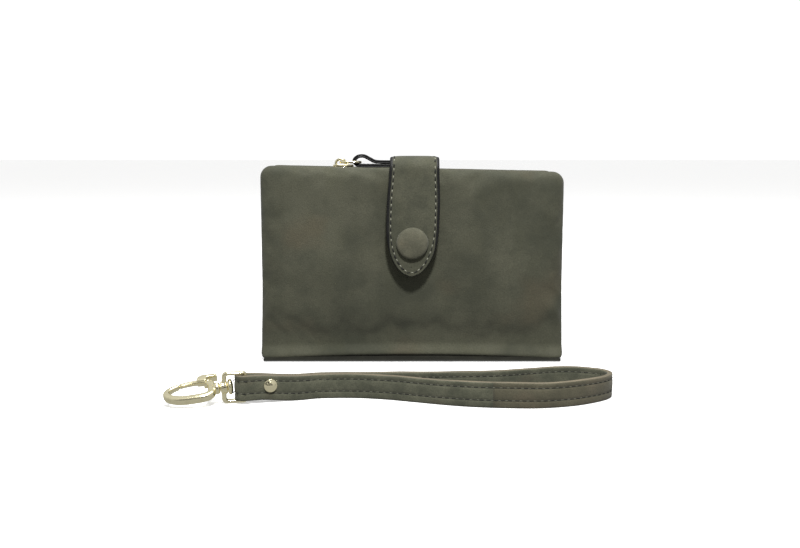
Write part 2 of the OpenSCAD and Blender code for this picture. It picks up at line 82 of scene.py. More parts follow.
class Shader:
    """A node material, with short calls for the nodes that the materials below share."""

    def __init__(self, name, roughness=0.6, metallic=0.0, specular=0.5):
        self.material = bpy.data.materials.new(name)
        self.material.use_nodes = True
        self.tree = self.material.node_tree
        self.shader = self.tree.nodes["Principled BSDF"]
        self.set("Roughness", roughness)
        self.set("Metallic", metallic)
        self.set("Specular IOR Level", specular)
        self.place = self.node("ShaderNodeTexCoord").outputs["Object"]

    def node(self, kind, **values):
        made = self.tree.nodes.new(kind)
        for name, value in values.items():
            setattr(made, name, value)
        return made

    def set(self, socket, value):
        self.shader.inputs[socket].default_value = value

    def link(self, source, target):
        self.tree.links.new(source, target)

    def stretched(self, scale, turn=(0, 0, 0)):
        """The object's coordinates, scaled per axis."""
        mapping = self.node("ShaderNodeMapping")
        mapping.inputs["Scale"].default_value = scale
        mapping.inputs["Rotation"].default_value = turn
        self.link(self.place, mapping.inputs["Vector"])
        return mapping.outputs["Vector"]

    def noise(self, size, detail=3.0, roughness=0.55, vector=None):
        """Noise whose features are about size millimetres across."""
        made = self.node("ShaderNodeTexNoise")
        made.inputs["Scale"].default_value = 1 / (size * MM)
        made.inputs["Detail"].default_value = detail
        made.inputs["Roughness"].default_value = roughness
        self.link(vector or self.place, made.inputs["Vector"])
        return made.outputs["Fac"]

    def cells(self, size):
        made = self.node("ShaderNodeTexVoronoi")
        made.inputs["Scale"].default_value = 1 / (size * MM)
        self.link(self.place, made.inputs["Vector"])
        return made.outputs["Distance"]

    def waves(self, period, axis, vector=None):
        made = self.node("ShaderNodeTexWave", bands_direction=axis)
        made.inputs["Scale"].default_value = math.pi / 10 / (period * MM)
        self.link(vector or self.place, made.inputs["Vector"])
        return made.outputs["Fac"]

    def between(self, value, low, high):
        """value stretched so that low becomes 0 and high becomes 1."""
        made = self.node("ShaderNodeMapRange", interpolation_type="SMOOTHSTEP")
        made.inputs["From Min"].default_value = low
        made.inputs["From Max"].default_value = high
        self.link(value, made.inputs["Value"])
        return made.outputs["Result"]

    def blend(self, factor, first, second):
        """A colour between two colours or sockets."""
        made = self.node("ShaderNodeMix", data_type="RGBA")
        for index, value in ((6, first), (7, second)):
            if isinstance(value, tuple):
                made.inputs[index].default_value = (*value, 1)
            else:
                self.link(value, made.inputs[index])
        if isinstance(factor, (int, float)):
            made.inputs[0].default_value = factor
        else:
            self.link(factor, made.inputs[0])
        return made.outputs[2]

    def math(self, operation, first, second):
        made = self.node("ShaderNodeMath", operation=operation)
        for index, value in enumerate((first, second)):
            if isinstance(value, (int, float)):
                made.inputs[index].default_value = value
            else:
                self.link(value, made.inputs[index])
        return made.outputs[0]

    def colour(self, source):
        self.link(source, self.shader.inputs["Base Color"])

    def rough(self, value, low, high):
        made = self.node("ShaderNodeMapRange")
        made.inputs["To Min"].default_value = low
        made.inputs["To Max"].default_value = high
        self.link(value, made.inputs["Value"])
        self.link(made.outputs["Result"], self.shader.inputs["Roughness"])

    def bump(self, *layers):
        """Bumps on top of each other; a layer is (height, depth in millimetres)."""
        below = None
        for height, depth in layers:
            made = self.node("ShaderNodeBump")
            made.inputs["Strength"].default_value = 1.0
            made.inputs["Distance"].default_value = depth * MM
            self.link(height, made.inputs["Height"])
            if below is not None:
                self.link(below, made.inputs["Normal"])
            below = made.outputs["Normal"]
        self.link(below, self.shader.inputs["Normal"])


def nubuck(name, dark, light, brown, sheen=0.12, cloud=26.0):
    """Matte sanded leather: cloudy tone, faint brown patches, a fine nap and pores."""
    s = Shader(name, roughness=0.9, specular=0.25)
    s.set("Sheen Weight", sheen)
    s.set("Sheen Roughness", 0.5)
    clouds = s.between(s.noise(cloud, 4.0, 0.6), 0.34, 0.68)
    smears = s.between(s.noise(cloud * 0.35, 5.0, 0.65, s.stretched((1.0, 1.0, 0.6))), 0.42, 0.7)
    patches = s.between(s.noise(cloud * 1.7, 3.0, 0.5, s.stretched((1.1, 1.0, 1.4), (0.3, 0.2, 0.5))),
                        0.55, 0.72)
    nap = s.noise(0.45, 4.0, 0.7)
    tone = s.blend(clouds, dark, light)
    tone = s.blend(s.math("MULTIPLY", smears, 0.3), tone, light)
    tone = s.blend(s.math("MULTIPLY", patches, 0.55), tone, brown)
    deep = tuple(c * 0.55 for c in dark)
    tone = s.blend(s.math("MULTIPLY", s.between(nap, 0.62, 0.35), 0.4), tone, deep)
    s.colour(tone)
    s.rough(smears, 0.8, 0.95)
    s.bump((s.noise(7.0, 2.0), 0.25), (s.cells(0.7), 0.05), (nap, 0.06))
    return s.material


def smooth_leather(name, tone, worn, roughness=0.55, specular=0.4):
    """Finished leather with a printed pebble grain and lighter worn patches spread at random."""
    s = Shader(name, roughness=roughness, specular=specular)
    grain = s.cells(0.8)
    patches = s.between(s.noise(12.0, 3.0), 0.4, 0.7)
    s.colour(s.blend(s.math("MULTIPLY", patches, 0.6), tone, worn))
    s.rough(s.noise(3.0), roughness - 0.1, roughness + 0.15)
    s.bump((grain, 0.06), (s.noise(0.3, 3.0), 0.03))
    return s.material


def woven(name, tone, light, period=0.45, depth=0.05, roughness=0.85):
    """Plain weave: threads along both directions, with uneven dye."""
    s = Shader(name, roughness=roughness, specular=0.25)
    s.set("Sheen Weight", 0.15)
    warp = s.waves(period, "X")
    weft = s.waves(period, "Z")
    across = s.waves(period, "Y")
    threads = s.math("MULTIPLY", s.math("ADD", warp, across), weft)
    uneven = s.between(s.noise(9.0, 3.0), 0.35, 0.7)
    tone_now = s.blend(uneven, tone, light)
    s.colour(s.blend(s.math("MULTIPLY", s.between(threads, 0.5, 0.0), 0.5), tone_now,
                     tuple(c * 0.5 for c in tone)))
    s.bump((threads, depth), (s.noise(0.2), 0.02))
    return s.material


def plated(name, tone, dull, roughness=0.14):
    """Plated metal with faint handling marks."""
    s = Shader(name, roughness=roughness, metallic=1.0)
    marks = s.between(s.noise(2.5, 4.0, 0.6), 0.45, 0.75)
    s.colour(s.blend(s.math("MULTIPLY", marks, 0.35), tone, dull))
    s.rough(s.noise(1.2, 4.0, 0.7), roughness * 0.7, roughness * 1.7)
    s.bump((s.noise(3.0, 2.0), 0.02), (s.noise(0.25, 2.0, 0.6, s.stretched((1, 4, 4))), 0.003))
    return s.material


def thread(name, tone, light):
    """Twisted sewing thread."""
    s = Shader(name, roughness=0.75, specular=0.3)
    twist = s.waves(0.3, "DIAGONAL")
    s.colour(s.blend(twist, tone, light))
    s.bump((twist, 0.05), (s.noise(0.15), 0.02))
    return s.material


def fibre(name, tone, light, size=0.6, depth=0.08):
    """Foam or board: a fine broken surface."""
    s = Shader(name, roughness=0.95, specular=0.15)
    s.colour(s.blend(s.noise(size, 4.0, 0.7), tone, light))
    s.bump((s.cells(size), depth))
    return s.material


def film(name):
    s = Shader(name, roughness=0.12)
    s.set("Base Color", (0.9, 0.93, 0.94, 1))
    s.set("Transmission Weight", 0.9)
    s.set("IOR", 1.3)
    s.rough(s.noise(14.0, 3.0), 0.08, 0.25)
    s.bump((s.noise(18.0, 2.0), 0.15))
    return s.material


LEATHER = nubuck("cover_nubuck", (0.040, 0.042, 0.027), (0.071, 0.071, 0.047), (0.080, 0.068, 0.042))
TAB_LEATHER = nubuck("tab_nubuck", (0.044, 0.046, 0.030), (0.073, 0.073, 0.048),
                     (0.078, 0.069, 0.044), cloud=14.0)
BUTTON_LEATHER = nubuck("button_nubuck", (0.072, 0.071, 0.048), (0.112, 0.108, 0.074),
                        (0.118, 0.104, 0.068), cloud=6.0)
STRAP_LEATHER = nubuck("strap_nubuck", (0.057, 0.060, 0.040), (0.1, 0.101, 0.068),
                       (0.09, 0.079, 0.051), cloud=7.0)
STRAP_SMOOTH = nubuck("strap_nubuck_end", (0.072, 0.067, 0.043), (0.105, 0.096, 0.062),
                      (0.115, 0.095, 0.063), cloud=11.0)
CUT_EDGE = smooth_leather("cut_leather_edge", (0.11, 0.094, 0.064), (0.17, 0.14, 0.092), 0.75)
# Near-black bottom fold: painted shade, standing in for the shade under the front cover's foot.
FOLD_SHADE_LEATHER = smooth_leather("fold_leather_painted_shade", (0.012, 0.012, 0.009), (0.02, 0.02, 0.014), 0.7, 0.2)
EDGE_PAINT = smooth_leather("black_edge_leather", (0.006, 0.006, 0.006), (0.012, 0.012, 0.011), 0.5, 0.25)
POCKET_LEATHER = smooth_leather("pocket_leather", (0.07, 0.07, 0.05), (0.1, 0.098, 0.07), 0.62)
LINING = woven("lining_twill", (0.045, 0.042, 0.033), (0.062, 0.058, 0.045))
ZIP_TAPE = woven("zip_tape_weave", (0.014, 0.014, 0.013), (0.026, 0.026, 0.024), 0.6, 0.08, 0.75)
GOLD = plated("pale_gold", (0.96, 0.89, 0.60), (0.70, 0.62, 0.37), 0.11)
THREAD = thread("grey_thread", (0.16, 0.16, 0.125), (0.30, 0.30, 0.24))
STRAP_THREAD = thread("olive_thread", (0.055, 0.055, 0.042), (0.13, 0.13, 0.10))
# Near-black capsules between the strap's stitches: painted shade in the needle holes.
STRAP_HOLE_SHADE = thread("strap_needle_hole_shade", (0.012, 0.012, 0.01), (0.026, 0.026, 0.021))
# Real dark thread on the zip, and painted shade in the tab's needle holes.
DARK_THREAD_AND_HOLE_SHADE = thread("dark_thread_and_hole_shade", (0.006, 0.006, 0.005), (0.016, 0.016, 0.014))
FOAM = fibre("open_foam", (0.55, 0.53, 0.45), (0.75, 0.73, 0.66))
BOARD = fibre("grey_board", (0.28, 0.25, 0.2), (0.4, 0.36, 0.3), 1.2, 0.03)
FILM = film("clear_film")

BODY_OF = {n: body for body, nodes in frame["record"]["behaviour"]["bodies"].items() for n in nodes}


# ---------------------------------------------------------------- mesh tools


def piece(name, verts, faces, material, smooth=True, more=(), face_slots=None):
    """A mesh object from points in millimetres. face_slots gives faces other materials."""
    mesh = bpy.data.meshes.new(name)
    mesh.from_pydata([tuple(float(c) * MM for c in v) for v in verts], [], faces)
    mesh.update()
    for m in (material, *more):
        mesh.materials.append(m)
    if face_slots is not None:
        mesh.polygons.foreach_set("material_index", face_slots)
    obj = bpy.data.objects.new(name, mesh)
    bpy.context.scene.collection.objects.link(obj)
    tidy = bmesh.new()
    tidy.from_mesh(mesh)
    bmesh.ops.remove_doubles(tidy, verts=tidy.verts, dist=1e-7)
    bmesh.ops.recalc_face_normals(tidy, faces=tidy.faces)
    tidy.to_mesh(mesh)
    tidy.free()
    if smooth:
        mesh.polygons.foreach_set("use_smooth", [True] * len(mesh.polygons))
    return obj


def refine(obj):
    """Applies one level of a subdivision surface."""
    mod = obj.modifiers.new("smooth", "SUBSURF")
    mod.levels = mod.render_levels = 1
    apply_modifiers(obj)
    obj.data.polygons.foreach_set("use_smooth", [True] * len(obj.data.polygons))
    return obj


def apply_modifiers(obj):
    bpy.context.view_layer.update()
    graph = bpy.context.evaluated_depsgraph_get()
    made = bpy.data.meshes.new_from_object(obj.evaluated_get(graph), depsgraph=graph)
    obj.modifiers.clear()
    obj.data = made


def crisp(obj, angle=38):
    """Smooth shading that breaks at sharp edges, kept in the mesh itself."""
    shape = bmesh.new()
    shape.from_mesh(obj.data)
    for edge in shape.edges:
        edge.smooth = len(edge.link_faces) == 2 and edge.calc_face_angle() < math.radians(angle)
    shape.to_mesh(obj.data)
    shape.free()
    obj.data.polygons.foreach_set("use_smooth", [True] * len(obj.data.polygons))
    return obj


def loft(name, rings, material, caps=True, matrix=None, **options):
    """Skin over closed rings that all have the same number of points."""
    count = len(rings[0])
    verts = [p for ring in rings for p in ring]
    faces = []
    for k in range(len(rings) - 1):
        for i in range(count):
            j = (i + 1) % count
            faces.append((k * count + i, k * count + j, (k + 1) * count + j, (k + 1) * count + i))
    if caps:
        faces.append(tuple(range(count)))
        faces.append(tuple(range((len(rings) - 1) * count, len(rings) * count)))
    if matrix is not None:
        verts = [matrix @ Vector(v) for v in verts]
    return piece(name, verts, faces, material, **options)


def lathe(name, profile, matrix, material, segments=40):
    """A turned piece; profile is (radius, height) from bottom to top, about local Z."""
    turns = [2 * math.pi * i / segments for i in range(segments)]
    rings = []
    for r, h in profile:
        r = max(r, 0.001)
        rings.append([(r * math.cos(a), r * math.sin(a), h) for a in turns])
    return crisp(loft(name, rings, material, matrix=matrix), 50)


def rounded(points, radius, steps=4):
    """A closed outline with its corners rounded by a radius, or by one radius a corner."""
    out = []
    count = len(points)
    for i, p in enumerate(points):
        r = radius[i] if isinstance(radius, (list, tuple)) else radius
        a, b = np.array(points[i - 1], float), np.array(points[(i + 1) % count], float)
        p = np.array(p, float)
        u, v = (a - p) / np.linalg.norm(a - p), (b - p) / np.linalg.norm(b - p)
        half = math.acos(max(-1, min(1, float(u @ v)))) / 2
        cut = min(r / math.tan(half), np.linalg.norm(a - p) * 0.48, np.linalg.norm(b - p) * 0.48)
        start, end = p + u * cut, p + v * cut
        for k in range(steps + 1):
            t = k / steps
            out.append(tuple((1 - t) ** 2 * start + 2 * t * (1 - t) * p + t * t * end))
    return out


def plate(name, outline, low, high, edge, material, matrix=None, steps=3):
    """An outline in local XY raised from low to high, with rounded rims."""
    shape = np.array(outline, float)
    before, after = np.roll(shape, 1, 0), np.roll(shape, -1, 0)
    along = after - before
    inward = np.stack([-along[:, 1], along[:, 0]], 1)
    inward /= np.linalg.norm(inward, axis=1)[:, None] + 1e-9
    area = 0.5 * np.sum(shape[:, 0] * after[:, 1] - after[:, 0] * shape[:, 1])
    if area < 0:
        inward = -inward
    rings = []
    levels = [(edge * (1 - math.sin(t)), low + edge * (1 - math.cos(t)))
              for t in np.linspace(0, math.pi / 2, steps + 1)]
    levels += [(edge * (1 - math.cos(t)), high - edge * (1 - math.sin(t)))
               for t in np.linspace(0, math.pi / 2, steps + 1)]
    for inset, z in levels:
        ring = shape + inward * inset
        rings.append([(x, y, z) for x, y in ring])
    return crisp(loft(name, rings, material, matrix=matrix), 50)


def sweep(name, path, sizes, material, matrix=None, closed=False, sides=20, power=2.4, round_ends=(0, 0)):
    """A bar along a path in local XY. sizes is (width, height) at each point of the path."""
    path = [np.array(p, float) for p in path]
    sizes = [tuple(s) for s in sizes]
    for end, reach in ((0, round_ends[0]), (-1, round_ends[1])):
        if reach and not closed:
            p, q = (path[0], path[1]) if end == 0 else (path[-1], path[-2])
            out = (p - q) / np.linalg.norm(p - q)
            caps = [(p + out * reach * math.sin(a), math.cos(a)) for a in (0.45, 0.9, 1.25, 1.5)]
            base = sizes[end]
            more = [(c, (base[0] * k, base[1] * k)) for c, k in caps]
            if end == 0:
                path = [c for c, _ in reversed(more)] + path
                sizes = [s for _, s in reversed(more)] + sizes
            else:
                path = path + [c for c, _ in more]
                sizes = sizes + [s for _, s in more]
    rings = []
    count = len(path)
    for i, p in enumerate(path):
        a = path[i - 1] if closed or i else path[0]
        b = path[(i + 1) % count] if closed or i < count - 1 else path[-1]
        t = (b - a) / np.linalg.norm(b - a)
        side = np.array([-t[1], t[0]])
        w, h = sizes[i]
        ring = []
        for k in range(sides):
            angle = 2 * math.pi * k / sides
            c, s = math.cos(angle), math.sin(angle)
            x = math.copysign(abs(c) ** (2 / power), c) * w / 2
            z = math.copysign(abs(s) ** (2 / power), s) * h / 2
            ring.append((p[0] + side[0] * x, p[1] + side[1] * x, z))
        rings.append(ring)
    if closed:
        rings.append(rings[0])
    return loft(name, rings, material, caps=not closed, matrix=matrix)


SHARP_ANGLE = math.radians(30)
FLAT_ANGLE = math.radians(1)
BEVEL_SEGMENTS = 2


def beveled(node, name, width, material):
    """A copy of a CAD node's shape with its sharp edges rounded."""
    shape = bmesh.new()
    shape.from_mesh(frame["nodes"][node].data)
    bmesh.ops.remove_doubles(shape, verts=shape.verts, dist=2e-6)
    bmesh.ops.dissolve_limit(shape, angle_limit=FLAT_ANGLE, verts=shape.verts, edges=shape.edges)
    sharp = [e for e in shape.edges
             if len(e.link_faces) == 2 and e.calc_face_angle() > SHARP_ANGLE]
    bmesh.ops.bevel(shape, geom=sharp, offset=width * MM, segments=BEVEL_SEGMENTS, profile=0.5,
                    affect="EDGES", clamp_overlap=True)
    mesh = bpy.data.meshes.new(name)
    shape.to_mesh(mesh)
    shape.free()
    mesh.materials.clear()
    mesh.materials.append(material)
    obj = bpy.data.objects.new(name, mesh)
    bpy.context.scene.collection.objects.link(obj)
    crisp(obj, 60)
    return settle(obj, node)


def settle(obj, *nodes, body=None):
    """obj stands for these CAD nodes, hides them and rides on their body, except when body is blended."""
    if nodes:
        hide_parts(*nodes)
    if body != "blended":
        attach(obj, body or BODY_OF[nodes[0]])
    return obj


def smooth_step(t):
    t = min(1, max(0, t))
    return t * t * (3 - 2 * t)


def wobble(x, z, size, depth, seed):
    """A smooth random height over a sheet, in millimetres."""
    return depth * noise.noise(Vector((x / size + seed * 7.3, z / size - seed * 3.1, seed * 1.7)))


def sheet_points(half_x, low, high, corner, profile, cell, relief=None):
    """A flat pad drawn as seen from the front: a face grid, rings round its edge, a back grid.

    profile lists (inset, depth) from the rim of the face to the rim of the back, and corner
    is the radius at the top and at the bottom. Returns the points and the faces."""
    nx = max(2, round(2 * half_x / cell))
    nz = max(2, round((high - low) / cell))

    def plan(u, v, inset):
        hx, hz = half_x - inset, (high - low) / 2 - inset
        r = max(0.05, corner[0 if v > 0 else 1] - inset)
        x, z = u * hx, v * hz
        a, b = (abs(x) - (hx - r)) / r, (abs(z) - (hz - r)) / r
        if a > 0 and b > 0:
            x = math.copysign(hx - r + r * a * math.sqrt(1 - b * b / 2), x)
            z = math.copysign(hz - r + r * b * math.sqrt(1 - a * a / 2), z)
        return x, z + (high + low) / 2

    points, faces = [], []
    grid = [(-1 + 2 * i / nx, -1 + 2 * j / nz) for j in range(nz + 1) for i in range(nx + 1)]
    edge = ([(i, 0) for i in range(nx)] + [(nx, j) for j in range(nz)]
            + [(i, nz) for i in range(nx, 0, -1)] + [(0, j) for j in range(nz, 0, -1)])
    for which, rim in ((0, 0), (1, len(profile) - 1)):
        inset, depth = profile[rim]
        start = len(points)
        for u, v in grid:
            x, z = plan(u, v, inset)
            lift = relief(x, z) if relief and which == 0 else 0
            points.append((x, depth + lift, z))
        for j in range(nz):
            for i in range(nx):
                a = start + j * (nx + 1) + i
                faces.append((a, a + 1, a + nx + 2, a + nx + 1))
    back_start = len(grid)
    loops = [[j * (nx + 1) + i for i, j in edge]]
    for k in range(1, len(profile) - 1):
        inset, depth = profile[k]
        start = len(points)
        for i, j in edge:
            x, z = plan(-1 + 2 * i / nx, -1 + 2 * j / nz, inset)
            fade = 1 - k / (len(profile) - 1)
            points.append((x, depth + (relief(x, z) * fade if relief else 0), z))
        loops.append(list(range(start, start + len(edge))))
    loops.append([back_start + j * (nx + 1) + i for i, j in edge])
    for first, second in zip(loops, loops[1:]):
        for i in range(len(edge)):
            j = (i + 1) % len(edge)
            faces.append((first[i], first[j], second[j], second[i]))
    return points, faces


def panel(name, low, high, thickness_from, thickness_to, material, corner=(1.5, 1.5), relief_mm=0.12,
          cell=6.0, seed=1.0):
    """A thin soft panel standing in the XZ plane, with rounded rims and slight waves."""
    centre = (low[0] + high[0]) / 2
    half = (high[0] - low[0]) / 2
    thick = abs(thickness_to - thickness_from)
    towards = 1 if thickness_to > thickness_from else -1
    r = min(0.25, thick * 0.45)
    profile = [(r + 0.2, thickness_from), (r * 0.3, thickness_from + towards * r * 0.3),
               (0, thickness_from + towards * thick * 0.5),
               (r * 0.3, thickness_to - towards * r * 0.3), (r + 0.2, thickness_to)]
    points, faces = sheet_points(
        half, low[1], high[1], corner, profile, cell,
        lambda x, z: -towards * abs(wobble(x, z, 22, relief_mm, seed)))
    points = [(x + centre, y, z) for x, y, z in points]
    return refine(piece(name, points, faces, material))


def stitches(name, runs, material, radius=0.3, length=1.9, flat=0.75):
    """Sewn stitches as one mesh; a run is a list of (place, direction, outward normal)."""
    segments, verts, faces = 6, [], []
    rows = [(-0.5, 0.25), (-0.42, 0.8), (0.0, 1.0), (0.42, 0.8), (0.5, 0.25)]
    for place, along, out in runs:
        along, out = Vector(along).normalized(), Vector(out).normalized()
        side = out.cross(along).normalized()
        start = len(verts)
        for s, k in rows:
            for i in range(segments):
                angle = 2 * math.pi * i / segments
                verts.append(Vector(place) + along * (s * length)
                             + side * (math.cos(angle) * radius * k)
                             + out * (math.sin(angle) * radius * k * flat))
        for r in range(len(rows) - 1):
            for i in range(segments):
                j = (i + 1) % segments
                a = start + r * segments
                faces.append((a + i, a + j, a + segments + j, a + segments + i))
        faces.append(tuple(start + i for i in range(segments)))
        last = start + (len(rows) - 1) * segments
        faces.append(tuple(last + i for i in range(segments)))
    return piece(name, verts, faces, material)


def seam(name, runs, material=THREAD):
    """A row of plain fine stitches."""
    return stitches(name, runs, material, 0.2, 1.7)


def spaced(points, pitch, start=0.0):
    """Places at even distances along a polyline: (place, direction)."""
    points = [Vector(p) for p in points]
    out, travelled, want = [], 0.0, start
    for a, b in zip(points, points[1:]):
        length = (b - a).length
        while length > 0 and want <= travelled + length:
            out.append((a + (b - a) * ((want - travelled) / length), (b - a).normalized()))
            want += pitch
        travelled += length
    return out


# ---------------------------------------------------------------- padded covers


MOST_PUFF = 0.8
AIR_PRESSURE = 4.0
CLOTH_FRAMES = 20


def inflate(obj, held):
    """Cloth under air pressure. held is the pin weight of each point, and MOST_PUFF the most
    that a free point may move. The result is written into the mesh."""
    start = np.array([v.co for v in obj.data.vertices], float)
    group = obj.vertex_groups.new(name="held")
    for i, weight in enumerate(held):
        group.add([i], float(weight), "REPLACE")
    mod = obj.modifiers.new("air", "CLOTH")
    cloth = mod.settings
    cloth.quality = 6
    cloth.mass = 0.1
    cloth.tension_stiffness = cloth.compression_stiffness = 12
    cloth.shear_stiffness = 6
    cloth.bending_stiffness = 0.4
    cloth.air_damping = 4
    cloth.vertex_group_mass = "held"
    cloth.use_pressure = True
    cloth.uniform_pressure_force = AIR_PRESSURE
    cloth.shrink_min = -0.012
    cloth.effector_weights.gravity = 0
    mod.point_cache.frame_start = 1
    mod.point_cache.frame_end = CLOTH_FRAMES
    scene = bpy.context.scene
    for step in range(1, CLOTH_FRAMES + 1):
        scene.frame_set(step)
    graph = bpy.context.evaluated_depsgraph_get()
    moved = np.array([v.co for v in obj.evaluated_get(graph).data.vertices], float)
    obj.modifiers.clear()
    obj.vertex_groups.clear()
    scene.frame_set(1)
    shift = moved - start
    length = np.linalg.norm(shift, axis=1)[:, None] + 1e-12
    limit = MOST_PUFF * MM * (1 - np.array(held))[:, None]
    shift *= np.minimum(1, limit / length)
    for v, place in zip(obj.data.vertices, start + shift):
        v.co = place


WALLET_HALF_W = span("base_leather")[1].x
FRONT_Y = span("front_cover_leather")[0].y
FRONT_IN_Y = span("front_cover_leather")[1].y
BACK_Y = span("back_cover_leather")[1].y
BACK_IN_Y = span("back_cover_leather")[0].y
TOP_Z = span("front_cover_leather")[1].z
BUTTON_Z = (span("snap_socket")[0].z + span("snap_socket")[1].z) / 2
# The tops slope down to the right by TOP_FALL a millimetre, from TOP_RISE above the CAD at
# LEFT_X. The coin pocket slopes too, but only to the right of ZIP_LEVEL_X, where its slider ends.
TOP_FALL = 0.021
TOP_RISE = 0.7
LEFT_X = -62.0
ZIP_LEVEL_X = -28.6

FRONT_LOW_Z = 0.2
BACK_LOW_Z = 3.2
COVER_CORNERS = (5.6, 2.6)

# The foot of the front: drawn up along its middle, standing forward, and a little wider.
BOW = 2.0
BOW_HALF_W = 66.0
FLARE = 3.0
FLARE_TOP_Z = 7.2
FLARE_LOW_Z = 0.4
FOOT_SPREAD = 0.9

# A hollow runs along the front above its foot, and the padding is fullest above that.
VALLEY = 1.9
BACK_VALLEY = 0.2
VALLEY_Z = 7.5
VALLEY_REACH = 21.0
BELLY = 1.1
BELLY_Z = 42.0
BELLY_REACH = 32.0

# The foam stays above the hollow, and the linings above the bottom fold's lips.
FRONT_FOAM_LOW_Z = 29.0
LINING_LOW_Z = 7.8


def bow(x):
    """How far the bottom edge of the front is drawn up at x."""
    return BOW * max(0, 1 - (x / BOW_HALF_W) ** 2)


def fall(obj):
    """Lets the top of a standing piece drop slightly towards the right."""
    for v in obj.data.vertices:
        share = max(0, v.co.z) / (TOP_Z * MM)
        v.co.z += (TOP_RISE * MM - (v.co.x - LEFT_X * MM) * TOP_FALL) * share
    return obj


def zip_fall(obj):
    """The same for the coin pocket, which stays level as far as its slider runs."""
    for v in obj.data.vertices:
        share = max(0, v.co.z) / (TOP_Z * MM)
        v.co.z -= max(0, v.co.x - ZIP_LEVEL_X * MM) * TOP_FALL * share
    return obj


def flare(z):
    """How far the foot of the front cover stands forward at this height."""
    return FLARE * smooth_step((FLARE_TOP_Z - z) / (FLARE_TOP_Z - FLARE_LOW_Z))


def bump_at(z, middle, reach):
    """1 at middle, falling smoothly to 0 at a distance of reach."""
    return 0.5 + 0.5 * math.cos(math.pi * min(1, abs(z - middle) / reach))


def padded_cover(name, node, outer, inner, towards, low_z, seed):
    """A padded cover: a crowned leather face over foam, turned over its edges to a rim round
    the lining, with a roll along its bottom. towards is +1 where the cover's inner side lies
    further along Y."""
    deep = abs(inner - outer)

    def depth(d):
        return outer + towards * d

    profile = [(4.6, depth(0.35)), (2.8, depth(0.55)), (1.3, depth(1.25)), (0.35, depth(2.3)),
               (0.0, depth(3.3)), (0.15, depth(deep - 0.5)), (0.6, depth(deep)),
               (1.3, depth(deep)), (1.5, depth(deep - 0.75))]

    def relief(x, z):
        near = math.hypot(x, z - BUTTON_Z)
        calm = min(1, max(0, (near - 7) / 10))
        big = wobble(x, z, 34, 0.5, seed) + wobble(x, z, 15, 0.22, seed + 2)
        crumple = wobble(x, z, 21, 0.3, seed + 3) * bump_at(z, 12, 9)
        valley = (VALLEY if towards > 0 else BACK_VALLEY) * bump_at(z, VALLEY_Z, VALLEY_REACH) + crumple
        free = smooth_step((abs(x) - 13) / 22) * smooth_step((WALLET_HALF_W - 4 - abs(x)) / 18)
        belly = BELLY * free * bump_at(z, BELLY_Z, BELLY_REACH)
        return towards * (calm * (0.15 - big) + valley - belly)

    points, faces = sheet_points(WALLET_HALF_W, low_z, TOP_Z, COVER_CORNERS, profile, 2.4, relief)
    obj = piece(name, points, faces, LEATHER)
    held = []
    for v in obj.data.vertices:
        x, y, z = (c / MM for c in v.co)
        into = abs(y - outer)
        side = min(1, max(0, (into - 2.2) / 1.6))
        near = math.hypot(x, z - BUTTON_Z)
        middle = min(1, max(0, 1 - (near - 7) / 9))
        tab = 0.7 * min(1, max(0, 1 - (abs(x) - 13) / 5)) * (1 if z > BUTTON_Z - 18 else 0)
        foot = 0.8 * bump_at(z, low_z + 5, 13)
        held.append(max(side, middle, foot, tab if towards < 0 else middle))
    inflate(obj, held)
    refine(obj)
    fall(obj)
    for v in obj.data.vertices:
        x, z = v.co.x / MM, v.co.z / MM
        if towards > 0:
            v.co.y -= flare(z) * MM
            v.co.z += bow(x) * max(0, 1 - max(0, z - low_z) / 14) * MM
            spread = math.copysign(FOOT_SPREAD * smooth_step((40 - z) / 40), x)
            v.co.x += spread * MM * smooth_step((abs(x) - 60) / 12)
    return settle(obj, node)


padded_cover("front_cover_padded", "front_cover_leather", FRONT_Y, FRONT_IN_Y, 1, FRONT_LOW_Z, 1)
padded_cover("back_cover_padded", "back_cover_leather", BACK_Y, BACK_IN_Y, -1, BACK_LOW_Z, 5)


def filling(name, node, material, inset, seed, low_z=None):
    """Foam or board, cut smaller than the cover that it lies in. low_z raises its lower edge."""
    low, high = span(node)
    squeeze = 0.3 * (high.y - low.y)
    obj = panel(name, (low.x + inset, low_z or low.z + inset + 3), (high.x - inset, high.z - inset),
                low.y + squeeze, high.y - squeeze, material, (3.0, 3.0), 0.05, 7.0, seed)
    return settle(fall(obj), node)


for side, seed, foam_low_z in (("front", 61, FRONT_FOAM_LOW_Z), ("back", 64, None)):
    filling(f"{side}_foam_sheet", f"{side}_cover_foam", FOAM, 5.0, seed, foam_low_z)
    filling(f"{side}_board_sheet", f"{side}_cover_board", BOARD, 4.0, seed + 1)


